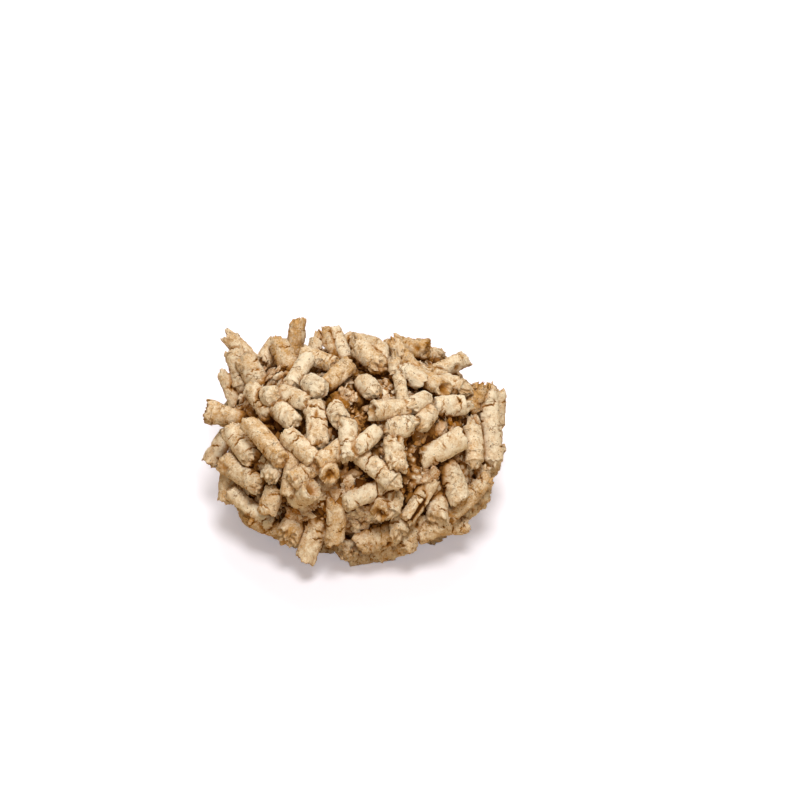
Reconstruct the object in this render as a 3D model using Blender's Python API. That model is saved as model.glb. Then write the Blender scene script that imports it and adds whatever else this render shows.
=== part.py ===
"""A clump of wood-pellet cat litter.

Wet pellets have swollen and crumbled into one lump of mash, and whole pellets are stuck into its
outside.  The lump, with the soaked pellets that have grown into it, is one solid, and each whole
pellet is a solid of its own that sits in the socket it has pressed into the lump.

+X is the long side, -Y the front and +Z up.  The clump stands on the flat that its underside took
from the tray, and the origin is on that flat, under the clump's middle.  All lengths are in metres.
"""

import math
import random

import bmesh
import bpy
from mathutils import Matrix, Vector, noise

MM = 0.001

# Pellets as they leave the press, and how much the damp has swollen those of the clump.
PELLET_DIAMETER = 6.0 * MM
SWELL = 1.12
RIM_WEAR = 0.7 * MM
END_BREAK = 0.45 * MM
END_SLANT = (-0.4, 0.4)
HOLLOW_DEPTH = 1.9 * MM
ROUND_RISE = 0.6 * MM
SKIN_WAVE = 0.04
LONG_PELLET = 15.0 * MM
BOW = 0.5 * MM
PELLET_SIDES = 8
SOAKED_SIDES = 6

# The clump: the pellets' middles lie on a full, rounded envelope of this size.
CLUMP_WIDTH = 97.0 * MM
CLUMP_DEPTH = 81.0 * MM
CLUMP_HEIGHT = 65.0 * MM
CLUMP_FULLNESS = 2.2
PRESSED_FLAT = 6.0 * MM

# The mash: how far it lies under the envelope, its lumps, and the dips and pits in it.
MASH_INSET = 3.8 * MM
MASH_LUMP = 2.0 * MM
MASH_LUMP_SPACING = 15.0 * MM
DIP_DEPTH = 4.6 * MM
DIP_SPACING = 11.0 * MM
CLOD_HEIGHT = 1.5 * MM
CLOD_SPACING = 7.0 * MM
MASH_SUBDIVISIONS = 4
MASH_FLATNESS = 23.0

# How the whole pellets lie.
SIGHT_HEIGHT = 40.0
STAND_PROUD = 3.0 * MM
MOST_LIFT = 3.2 * MM
LIFT_STEP = 0.4 * MM
SEAT_GAP = 0.3 * MM
SEAT_REACH = 3.0 * MM

# How the soaked pellets lie.
SOAKED_SWELL = (1.0, 1.22)
SOAKED_LENGTH = (10.0 * MM, 17.0 * MM)
SOAKED_TILT = 20.0
PIT_MARGIN = 2.5 * MM

# Soaked pellets come in two layers.  Each row gives the number of places tried, how deep they lie
# and how far they may press into pellets that are laid already.
SOAKED_LAYERS = [
    (330, 1.6 * MM, 0.4 * MM),
    (60, 3.9 * MM, 1.6 * MM),
]

RAW, HOLLOW, ROUND = "raw", "hollow", "round"
END_RISE = {RAW: 0.0, HOLLOW: -HOLLOW_DEPTH, ROUND: ROUND_RISE}

# Whole pellets, from the back of the pile to the front.  Each row gives the middle's place across
# and up the outline, as shares of its half width and half height seen from SIGHT_HEIGHT degrees
# above the front, the heading of the leading end in degrees, how far that end leans out, the
# length in millimetres, the girth against a fresh pellet, and the leading end.
WHOLE_PELLETS = [
    (-0.44, 0.90, 80, 0, 15, 0.95, RAW),
    (-0.29, 0.84, 85, 5, 11, 0.75, ROUND),
    (-0.12, 0.86, 113, -5, 14, 0.80, RAW),
    (-0.79, 0.81, 130, 0, 14, 0.95, RAW),
    (0.15, 0.75, 95, 0, 12, 0.95, ROUND),
    (0.62, 0.69, 25, 0, 13, 0.90, RAW),
    (0.30, 0.78, -54, 0, 13, 0.95, RAW),
    (0.89, 0.35, 90, 0, 14, 0.90, ROUND),
    (0.74, -0.45, 45, 0, 20, 0.85, RAW),
    (0.61, -0.70, 3, 0, 13, 0.95, RAW),
    (-0.72, -0.54, -38, 0, 19, 0.85, RAW),
    (-0.88, -0.33, 265, 0, 13, 0.95, RAW),
    (0.09, -0.95, 190, 0, 16, 0.95, RAW),
    (-0.94, -0.01, 238, 10, 14, 0.95, RAW),
    (-0.88, 0.50, 110, 0, 13, 0.75, ROUND),
    (-0.61, 0.80, 235, 30, 10, 0.95, HOLLOW),
    (0.07, 0.77, -45, 20, 14, 1.15, RAW),
    (-0.82, 0.65, 284, 10, 15, 1.05, ROUND),
    (-0.26, 0.74, -18, 10, 13, 0.95, RAW),
    (-0.50, 0.76, -63, 10, 15, 1.10, RAW),
    (-0.44, -0.21, 263, 10, 17, 0.95, RAW),
    (-0.15, -0.65, 268, 10, 16, 1.00, RAW),
    (-0.61, 0.03, -48, 5, 19, 1.05, RAW),
    (-0.87, 0.24, 165, 10, 15, 1.00, RAW),
    (0.48, 0.55, -25, 25, 13, 1.00, HOLLOW),
    (0.29, 0.48, -80, 5, 14, 0.65, ROUND),
    (-0.13, 0.61, 222, 15, 13, 1.00, RAW),
    (0.51, -0.70, 28, 10, 12, 1.10, HOLLOW),
    (-0.58, -0.47, 250, 20, 10, 1.05, HOLLOW),
    (0.07, 0.50, -45, 45, 12, 1.15, ROUND),
    (-0.40, 0.62, 240, 15, 14, 0.90, ROUND),
    (-0.29, 0.51, -30, 50, 11, 1.15, ROUND),
    (-0.35, -0.22, 215, 25, 11, 1.05, RAW),
    (0.41, 0.37, 205, 35, 11, 0.95, ROUND),
    (0.45, 0.23, 230, 30, 11, 1.00, ROUND),
    (-0.66, 0.38, -55, 5, 16, 1.00, RAW),
    (-0.48, 0.26, -42, 25, 13, 1.10, RAW),
    (-0.59, 0.42, 10, 60, 11, 1.15, ROUND),
    (0.21, 0.31, 183, 20, 13, 1.05, HOLLOW),
    (0.62, 0.34, 5, 10, 14, 1.15, ROUND),
    (-0.28, 0.17, -85, 15, 18, 1.15, RAW),
    (0.29, 0.16, 15, 15, 11, 1.15, ROUND),
    (0.25, -0.06, -80, 20, 12, 1.05, RAW),
    (0.77, 0.01, -86, 15, 16, 1.00, ROUND),
    (-0.17, -0.07, 215, 20, 13, 1.05, RAW),
    (-0.06, 0.05, -87, 15, 14, 0.95, RAW),
    (-0.38, -0.01, -42, 10, 15, 1.05, RAW),
    (-0.19, -0.19, 280, 65, 11, 1.00, HOLLOW),
    (0.56, -0.02, 28, 15, 17, 1.20, RAW),
    (0.06, -0.41, 203, 20, 17, 1.05, RAW),
    (0.89, 0.14, -86, 5, 26, 1.15, ROUND),
    (0.07, 0.06, 223, 20, 14, 0.95, RAW),
    (-0.78, 0.00, -52, 15, 15, 1.15, RAW),
    (-0.35, -0.41, 35, 50, 12, 1.15, HOLLOW),
    (0.13, -0.19, -38, 20, 19, 1.05, ROUND),
    (-0.77, -0.25, -33, 20, 17, 1.15, RAW),
    (0.41, -0.46, 238, 20, 16, 0.90, RAW),
    (0.63, -0.29, -69, 25, 16, 1.20, RAW),
    (-0.29, -0.73, 252, 20, 20, 1.15, HOLLOW),
]

# More of the same rows: pellets that have crumbled or grown into the mash where they lie.
GROWN_IN_PELLETS = [
    (-0.17, 0.86, 122, 5, 13, 0.85, RAW),
    (0.25, 0.67, -85, 0, 10, 0.70, ROUND),
    (0.95, 0.30, 85, 0, 13, 0.80, RAW),
    (-0.71, 0.61, 120, 0, 14, 1.20, RAW),
    (-0.62, -0.68, -22, 0, 15, 0.95, RAW),
    (-0.43, 0.41, -20, 10, 13, 1.05, RAW),
    (-0.13, 0.26, -60, 45, 9, 1.05, RAW),
    (-0.55, -0.18, 240, 45, 11, 1.00, RAW),
    (0.53, -0.52, 270, 50, 12, 1.15, RAW),
    (-0.44, -0.70, 240, 55, 11, 1.30, RAW),
    (0.24, -0.47, 255, 35, 12, 0.95, ROUND),
    (0.17, -0.49, 250, 55, 11, 1.00, HOLLOW),
    (0.28, -0.65, 262, 35, 11, 0.95, ROUND),
    (0.37, -0.74, 245, 15, 13, 1.00, RAW),
    (0.14, -0.79, 200, 10, 14, 1.30, RAW),
    (0.22, -0.88, 20, 10, 13, 1.20, RAW),
    (0.79, 0.40, 60, 10, 10, 0.95, RAW),
    (0.66, 0.51, -20, 30, 10, 1.00, ROUND),
    (0.35, 0.60, -30, 10, 10, 1.05, RAW),
]

# Pits of the mash, where one looks deep between the pellets.  Each row gives the place in the front
# view, as shares, as for the pellets, and the size in millimetres.
PITS = [
    (-0.75, 0.31, 4.0),
    (-0.50, 0.10, 4.5),
    (-0.01, 0.57, 4.0),
    (0.37, 0.27, 4.5),
    (0.41, 0.08, 4.5),
    (0.33, -0.22, 5.0),
    (0.33, -0.46, 4.5),
    (-0.14, 0.01, 4.0),
    (-0.66, -0.42, 4.0),
    (0.10, 0.22, 3.5),
    (0.66, -0.08, 3.5),
    (-0.03, -0.14, 3.5),
    (0.01, 0.38, 4.0),
    (0.55, 0.42, 3.5),
]

HALF_SIZES = (CLUMP_WIDTH / 2, CLUMP_DEPTH / 2, CLUMP_HEIGHT / 2)
MIDDLE = Vector((0.0, 0.0, CLUMP_HEIGHT / 2 - PRESSED_FLAT))

# The three directions of the front view: right, up and towards the eye.
SIGHT = math.radians(SIGHT_HEIGHT)
RIGHTWARD = Vector((1.0, 0.0, 0.0))
UPWARD = Vector((0.0, math.sin(SIGHT), math.cos(SIGHT)))
EYEWARD = Vector((0.0, -math.cos(SIGHT), math.sin(SIGHT)))

WOOD_COLOURS = {
    "whole": (0.72, 0.54, 0.33, 1.0),
    "mash": (0.60, 0.40, 0.21, 1.0),
}


class Pellet:
    """Where one pellet lies, how big it is and what its leading end looks like."""

    BEAD_COUNT = 7

    def __init__(self, name, middle, axis, length, girth, end, seed):
        self.name = name
        self.middle = middle
        self.axis = axis.normalized()
        self.length = length
        self.radius = girth * SWELL * PELLET_DIAMETER / 2
        self.end = end
        self.seed = seed

    def beads(self):
        """Points spread along the axis, from end to end less the radius."""
        reach = max(self.length / 2 - self.radius, 0.0)
        steps = [2 * i / (self.BEAD_COUNT - 1) - 1 for i in range(self.BEAD_COUNT)]
        return [self.middle + self.axis * (reach * step) for step in steps]

    def gap_to(self, other):
        """Room between this pellet's skin and another's; less than nothing where they cross."""
        closest = min((p - q).length for p in self.beads() for q in other.beads())
        return closest - self.radius - other.radius

    def may_touch(self, other):
        reach = (self.length + other.length) / 2 + PELLET_DIAMETER
        return (self.middle - other.middle).length < reach

    def placement(self):
        """Turns a stick along Z so that it lies in the clump."""
        turn = Vector((0.0, 0.0, 1.0)).rotation_difference(self.axis)
        return Matrix.Translation(self.middle) @ turn.to_matrix().to_4x4()


def envelope_level(point, inset=0.0):
    """Below 1 inside the clump's envelope, 1 on it and more outside.  point is from its middle."""
    shares = (abs(point[i]) / (HALF_SIZES[i] - inset) for i in range(3))
    return sum(share**CLUMP_FULLNESS for share in shares)


def on_envelope(direction, inset=0.0):
    """The point of the envelope that lies in this direction from its middle."""
    return direction * envelope_level(direction, inset) ** (-1 / CLUMP_FULLNESS)


def envelope_normal(point):
    slope = [
        math.copysign((abs(point[i]) / HALF_SIZES[i]) ** (CLUMP_FULLNESS - 1) / HALF_SIZES[i], point[i])
        for i in range(3)
    ]
    return Vector(slope).normalized()


def depth_of_envelope(across, up):
    """How far in front of the middle the envelope lies there, or comes nearest to being."""
    reach = max(HALF_SIZES) * 1.3
    steps = 120
    best_depth = 0.0
    best_level = math.inf
    for i in range(steps + 1):
        depth = reach * (1 - 2 * i / steps)
        level = envelope_level(RIGHTWARD * across + UPWARD * up + EYEWARD * depth)
        if level <= 1:
            return depth
        if level < best_level:
            best_depth, best_level = depth, level
    return best_depth


def outline_half_height():
    """Half the envelope's height in the front view."""
    low, high = 0.0, max(HALF_SIZES) * 1.5
    for _ in range(30):
        up = (low + high) / 2
        depth = depth_of_envelope(0.0, up)
        inside = envelope_level(UPWARD * up + EYEWARD * depth) <= 1
        low, high = (up, high) if inside else (low, up)
    return low


def half_outline():
    """Half the width and half the height of the front view, pellets and all."""
    return (CLUMP_WIDTH / 2 + PELLET_DIAMETER / 2, outline_half_height() + PELLET_DIAMETER / 2)


def spot_of_front(across_share, up_share, outline):
    """The envelope's point at a place of the front view, from the middle."""
    across, up = across_share * outline[0], up_share * outline[1]
    return RIGHTWARD * across + UPWARD * up + EYEWARD * depth_of_envelope(across, up)


def laid_pellet(name, row, seed, outline):
    """A pellet of the tables, lying along the envelope where its row puts it."""
    across_share, up_share, turn, lean, length_mm, girth, end = row
    surface = spot_of_front(across_share, up_share, outline)
    normal = envelope_normal(surface)
    heading, lean = math.radians(turn), math.radians(lean)
    flat = RIGHTWARD * math.cos(heading) + UPWARD * math.sin(heading)
    along = (flat - EYEWARD * (flat.dot(normal) * normal.dot(EYEWARD))).normalized()
    axis = (along * math.cos(lean) + EYEWARD * math.sin(lean)).normalized()
    length = length_mm * MM
    radius = girth * SWELL * PELLET_DIAMETER / 2
    front = abs(math.sin(lean)) * (length / 2 - radius) + radius
    middle = MIDDLE + surface + EYEWARD * (STAND_PROUD - front)
    return Pellet(name, middle, axis, length, girth, end, seed)


def settle(pellet, laid):
    """Moves a pellet towards the eye until it lies on those before it, or presses into them."""
    near = [other for other in laid if pellet.may_touch(other)]
    lift = 0.0
    while lift < MOST_LIFT and any(pellet.gap_to(other) < 0 for other in near):
        pellet.middle = pellet.middle + EYEWARD * LIFT_STEP
        lift += LIFT_STEP


def lay_pellets():
    """The whole pellets and those grown into the mash, each in its place."""
    outline = half_outline()
    grown_in = [
        laid_pellet(f"grown_in_{i:02d}", row, 500 + i, outline)
        for i, row in enumerate(GROWN_IN_PELLETS, 1)
    ]
    whole = []
    for i, row in enumerate(WHOLE_PELLETS, 1):
        pellet = laid_pellet(f"pellet_{i:02d}", row, i, outline)
        settle(pellet, whole)
        whole.append(pellet)
    return whole, grown_in


def soaked_pellet(i, tries, sink, name, seed):
    """The i-th of an even spread of places over the envelope, with a pellet turned at random."""
    rng = random.Random(seed)
    golden_angle = math.pi * (3 - math.sqrt(5))
    height = 1 - (2 * i + 1) / tries
    ring = math.sqrt(1 - height**2)
    angle = i * golden_angle
    surface = on_envelope(Vector((ring * math.cos(angle), ring * math.sin(angle), height)))
    normal = envelope_normal(surface)
    side = normal.orthogonal().normalized()
    side.rotate(Matrix.Rotation(rng.uniform(0, math.tau), 3, normal))
    tilt = math.radians(rng.uniform(-SOAKED_TILT, SOAKED_TILT))
    axis = side * math.cos(tilt) + normal * math.sin(tilt)
    middle = MIDDLE + surface - normal * sink
    length = rng.uniform(*SOAKED_LENGTH)
    girth = rng.uniform(*SOAKED_SWELL)
    end = rng.choice((RAW, RAW, ROUND, HOLLOW))
    return Pellet(name, middle, axis, length, girth, end, seed)


def placed_pits():
    """The pits' places from the middle, with their sizes."""
    outline = half_outline()
    return [(spot_of_front(across, up, outline), size * MM) for across, up, size in PITS]


def clear_of_pits(pellet, pits):
    place = pellet.middle - MIDDLE
    return all((place - pit).length > size + PIT_MARGIN for pit, size in pits)


def soak_pellets(laid):
    """Soaked pellets wherever those already laid leave room, all over the clump."""
    pits = placed_pits()
    soaked = []
    for layer, (tries, sink, squeeze) in enumerate(SOAKED_LAYERS, 1):
        order = list(range(tries))
        random.Random(layer).shuffle(order)
        for i in order:
            pellet = soaked_pellet(i, tries, sink, f"soaked_{layer}_{i:03d}", 1000 * layer + i)
            near = [other for other in laid + soaked if pellet.may_touch(other)]
            roomy = all(pellet.gap_to(other) > -squeeze for other in near)
            if roomy and clear_of_pits(pellet, pits):
                soaked.append(pellet)
    return soaked


def stick(sides, radius, length):
    """A plain round stick along Z."""
    bm = bmesh.new()
    bmesh.ops.create_cone(
        bm, cap_ends=True, segments=sides, radius1=radius, radius2=radius, depth=length
    )
    return bm


def bow_stick(bm, pellet):
    """Bends the middle of a long pellet a little to one side."""
    if pellet.length < LONG_PELLET:
        return
    along = [e for e in bm.edges if abs(e.verts[0].co.z - e.verts[1].co.z) > RIM_WEAR]
    bmesh.ops.subdivide_edges(bm, edges=along, cuts=1)
    for vert in (v for v in bm.verts if abs(v.co.z) < RIM_WEAR):
        vert.co.x += BOW


def finished_mesh(name, bm):
    mesh = bpy.data.meshes.new(name)
    bm.to_mesh(mesh)
    bm.free()
    return mesh


def pellet_mesh(pellet, sides, rim_wear=RIM_WEAR):
    """A pellet along Z, with worn rims, broken ends and an uneven skin."""
    rng = random.Random(pellet.seed)
    half_length = pellet.length / 2
    bm = stick(sides, pellet.radius, pellet.length - 2 * rim_wear)
    bow_stick(bm, pellet)
    caps = [face for face in bm.faces if abs(face.normal.z) > 0.9]
    if rim_wear:
        bmesh.ops.inset_region(bm, faces=caps, thickness=rim_wear, depth=rim_wear)
    slants = (rng.uniform(*END_SLANT), rng.uniform(*END_SLANT))
    for vert in bm.verts:
        vert.co.xy *= 1 + rng.uniform(-SKIN_WAVE, SKIN_WAVE)
        if abs(vert.co.z) > half_length - rim_wear / 2:
            leading = vert.co.z > 0
            vert.co.z += slants[leading] * vert.co.x + rng.uniform(-END_BREAK, END_BREAK)
    for cap in caps:
        leading = cap.normal.z > 0
        rise = END_RISE[pellet.end if leading else RAW]
        if rise:
            poked = bmesh.ops.poke(bm, faces=[cap])
            poked["verts"][0].co.z += rise if leading else -rise
    bmesh.ops.triangulate(bm, faces=bm.faces)
    return finished_mesh(pellet.name, bm)


def seat_mesh(pellet, sides):
    """The socket that a pellet presses round itself: its own shape with SEAT_GAP to spare."""
    radius = pellet.radius * (1 + SKIN_WAVE)
    end_room = max(END_SLANT) * radius + END_BREAK + SEAT_GAP
    bm = stick(sides, radius + SEAT_GAP, pellet.length + 2 * end_room)
    bow_stick(bm, pellet)
    return finished_mesh(f"seat_{pellet.name}", bm)


def add_object(name, mesh, parent, colour=None, placement=None):
    obj = bpy.data.objects.new(name, mesh)
    bpy.context.scene.collection.objects.link(obj)
    obj.parent = parent
    if placement:
        obj.matrix_local = placement
    if colour:
        mesh.materials.append(wood(name, colour))
        mesh.shade_smooth()
        mesh.set_sharp_from_angle(angle=math.radians(50))
    return obj


def wood(name, colour):
    material = bpy.data.materials.new(name)
    material.use_nodes = True
    shader = material.node_tree.nodes["Principled BSDF"]
    shader.inputs["Base Color"].default_value = WOOD_COLOURS[colour]
    shader.inputs["Roughness"].default_value = 0.85
    shader.inputs["Metallic"].default_value = 0.0
    return material


def helper_collection(name):
    collection = bpy.data.collections.new(name)
    bpy.context.scene.collection.children.link(collection)
    collection.hide_render = True
    return collection


def add_helper(name, mesh, parent, collection, placement=None):
    """A cutter, or a shape to be joined to the mash.  It is no piece of the clump itself."""
    obj = bpy.data.objects.new(name, mesh)
    collection.objects.link(obj)
    obj.parent = parent
    if placement:
        obj.matrix_local = placement
    obj.hide_render = True
    obj.display_type = "WIRE"
    return obj


def add_boolean(obj, operation, other):
    modifier = obj.modifiers.new(f"{operation.lower()} {other.name}", "BOOLEAN")
    modifier.operation = operation
    modifier.solver = "EXACT"
    if isinstance(other, bpy.types.Collection):
        modifier.operand_type = "COLLECTION"
        modifier.collection = other
    else:
        modifier.object = other


def dip_of_mash(direction, pits):
    """How deep the mash dips there, from 0 to 1."""
    dip = min(1.3 * max(noise.noise(on_envelope(direction, MASH_INSET) / DIP_SPACING), 0.0), 0.8)
    for middle, size in pits:
        away = middle.angle(direction) * CLUMP_WIDTH / 2 / size
        dip = max(dip, math.exp(-away * away))
    return dip


def mash_mesh():
    """The lump of crumbled wood at the heart of the clump."""
    pits = placed_pits()
    bm = bmesh.new()
    bmesh.ops.create_icosphere(bm, subdivisions=MASH_SUBDIVISIONS, radius=1.0)
    for vert in bm.verts:
        direction = vert.co.normalized()
        point = on_envelope(direction, MASH_INSET)
        rise = noise.noise(point / MASH_LUMP_SPACING) * MASH_LUMP
        rise += noise.noise(point / CLOD_SPACING) * CLOD_HEIGHT
        rise -= dip_of_mash(direction, pits) * DIP_DEPTH
        vert.co = MIDDLE + point + direction * rise
    flatness = math.radians(MASH_FLATNESS)
    bmesh.ops.dissolve_limit(bm, angle_limit=flatness, verts=bm.verts[:], edges=bm.edges[:])
    bmesh.ops.triangulate(bm, faces=bm.faces[:])
    return finished_mesh("soaked_core", bm)


def floor_mesh():
    """A block under the tray's surface, which trims the underside flat."""
    bm = bmesh.new()
    size = 2 * max(CLUMP_WIDTH, CLUMP_DEPTH)
    bmesh.ops.create_cube(bm, size=size)
    bmesh.ops.translate(bm, verts=bm.verts, vec=(0.0, 0.0, -size / 2))
    return finished_mesh("tray_surface", bm)


def lowest_point(obj):
    return min((obj.matrix_world @ vert.co).z for vert in obj.data.vertices)


def build_whole_pellets(whole, clump, tray_surface, seats):
    """Each whole pellet, dented where the ones in front of it press in."""
    cutters = [
        add_helper(
            f"seat_{pellet.name}",
            seat_mesh(pellet, PELLET_SIDES),
            clump,
            seats,
            pellet.placement(),
        )
        for pellet in whole
    ]
    for i, pellet in enumerate(whole):
        obj = add_object(
            pellet.name, pellet_mesh(pellet, PELLET_SIDES), clump, "whole", pellet.placement()
        )
        for j in range(i + 1, len(whole)):
            if pellet.may_touch(whole[j]) and pellet.gap_to(whole[j]) < SEAT_REACH:
                add_boolean(obj, "DIFFERENCE", cutters[j])
        bpy.context.view_layer.update()
        if lowest_point(obj) < SEAT_GAP:
            add_boolean(obj, "DIFFERENCE", tray_surface)


def build_core(whole, grown_in, clump, tray_surface, seats):
    """The mash with the soaked pellets grown into it, and a socket for each whole pellet."""
    joined = helper_collection("grown_into_the_mash")
    for pellet in soak_pellets(whole + grown_in) + grown_in:
        add_helper(
            pellet.name,
            pellet_mesh(pellet, SOAKED_SIDES, rim_wear=0.0),
            clump,
            joined,
            pellet.placement(),
        )
    core = add_object("soaked_core", mash_mesh(), clump, "mash")
    add_boolean(core, "UNION", joined)
    keep_main_body(core)
    add_boolean(core, "DIFFERENCE", seats)
    add_boolean(core, "DIFFERENCE", tray_surface)


def shells_of(bm):
    """The faces of each shell that hangs together."""
    left = set(bm.faces)
    shells = []
    while left:
        shell = {left.pop()}
        edge_of_shell = list(shell)
        while edge_of_shell:
            face = edge_of_shell.pop()
            beside = {f for edge in face.edges for f in edge.link_faces} & left
            left -= beside
            shell |= beside
            edge_of_shell.extend(beside)
        shells.append(shell)
    return shells


def shell_volume(shell):
    volume = 0.0
    for face in shell:
        first, *others = [vert.co for vert in face.verts]
        for second, third in zip(others, others[1:]):
            volume += first.dot(second.cross(third)) / 6
    return volume


def keep_main_body(obj):
    """Makes the Booleans final, without the crumbs that they cut off and the hollows they sealed."""
    bpy.context.view_layer.update()
    graph = bpy.context.evaluated_depsgraph_get()
    mesh = bpy.data.meshes.new_from_object(obj.evaluated_get(graph))
    bm = bmesh.new()
    bm.from_mesh(mesh)
    shells = sorted(shells_of(bm), key=shell_volume)
    for shell in shells[:-1]:
        bmesh.ops.delete(bm, geom=list(shell), context="FACES")
    bm.to_mesh(mesh)
    bm.free()
    obj.modifiers.clear()
    obj.data = mesh


def pieces():
    return [obj for obj in bpy.context.scene.collection.objects if obj.type == "MESH"]


def main():
    for obj in list(bpy.data.objects):
        bpy.data.objects.remove(obj)
    clump = bpy.data.objects.new("clump", None)
    bpy.context.scene.collection.objects.link(clump)
    trims = helper_collection("trims")
    tray_surface = add_helper("tray_surface", floor_mesh(), clump, trims)
    seats = helper_collection("seats")
    whole, grown_in = lay_pellets()
    build_whole_pellets(whole, clump, tray_surface, seats)
    build_core(whole, grown_in, clump, tray_surface, seats)
    for obj in pieces():
        if obj.modifiers:
            keep_main_body(obj)


main()
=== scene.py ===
"""The looks of a clump of wood-pellet cat litter.

Whole pellets, swollen and cracked, stand in for their plain solids one by one.  The lump between
them gets its soaked pellets, crumbled mash, loose crumbs and fibres.  Run it as a script: it
builds every piece, the floor, the light and the camera.
"""

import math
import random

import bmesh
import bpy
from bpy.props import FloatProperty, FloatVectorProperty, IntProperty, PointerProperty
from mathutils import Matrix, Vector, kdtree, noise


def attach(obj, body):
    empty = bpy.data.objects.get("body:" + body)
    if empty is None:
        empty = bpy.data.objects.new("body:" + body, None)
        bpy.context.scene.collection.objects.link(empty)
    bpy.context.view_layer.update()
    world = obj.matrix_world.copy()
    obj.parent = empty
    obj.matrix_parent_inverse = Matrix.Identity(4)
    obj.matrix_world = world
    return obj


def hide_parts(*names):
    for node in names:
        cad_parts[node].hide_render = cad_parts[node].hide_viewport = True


bl_info = {
    "name": "Pellet Litter Clump",
    "version": (1, 0, 0),
    "blender": (4, 5, 0),
    "location": "View3D > Sidebar > Litter",
    "description": "Builds the pellets, mash, crumbs and fibres of a clump of wood-pellet litter",
    "category": "Add Mesh",
}

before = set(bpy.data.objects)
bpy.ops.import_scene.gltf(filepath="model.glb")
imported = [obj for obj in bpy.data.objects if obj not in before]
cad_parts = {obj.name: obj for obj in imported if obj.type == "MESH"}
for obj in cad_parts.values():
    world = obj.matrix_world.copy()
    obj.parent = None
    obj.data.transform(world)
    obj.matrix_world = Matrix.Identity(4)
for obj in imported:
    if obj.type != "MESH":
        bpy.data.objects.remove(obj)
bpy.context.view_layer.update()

MM = 0.001

# Pellets as they leave the press, and how much the damp has swollen those of the clump.
PELLET_DIAMETER = 6.0 * MM
SWELL = 1.12
END_SLANT = (-0.4, 0.4)
HOLLOW_DEPTH = 1.9 * MM
ROUND_RISE = 0.6 * MM
LONG_PELLET = 15.0 * MM
BOW = 0.5 * MM

# The clump: the pellets' middles lie on a full, rounded envelope of this size.
CLUMP_WIDTH = 97.0 * MM
CLUMP_DEPTH = 81.0 * MM
CLUMP_HEIGHT = 65.0 * MM
CLUMP_FULLNESS = 2.2
PRESSED_FLAT = 6.0 * MM

# The mash: how far it lies under the envelope, its lumps, and the dips and pits in it.
MASH_INSET = 3.8 * MM
MASH_LUMP = 2.0 * MM
MASH_LUMP_SPACING = 15.0 * MM
DIP_DEPTH = 4.6 * MM
DIP_SPACING = 11.0 * MM
CLOD_HEIGHT = 1.5 * MM
CLOD_SPACING = 7.0 * MM

# How the whole pellets lie.
SIGHT_HEIGHT = 40.0
STAND_PROUD = 3.0 * MM
MOST_LIFT = 3.2 * MM
LIFT_STEP = 0.4 * MM

# How the soaked pellets lie.
SOAKED_SWELL = (1.0, 1.22)
SOAKED_LENGTH = (10.0 * MM, 17.0 * MM)
SOAKED_TILT = 20.0
PIT_MARGIN = 2.5 * MM

# Soaked pellets come in two layers.  Each row gives the number of places tried, how deep they lie
# and how far they may press into pellets that are laid already.
SOAKED_LAYERS = [
    (330, 1.6 * MM, 0.4 * MM),
    (60, 3.9 * MM, 1.6 * MM),
]

RAW, HOLLOW, ROUND = "raw", "hollow", "round"

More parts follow.
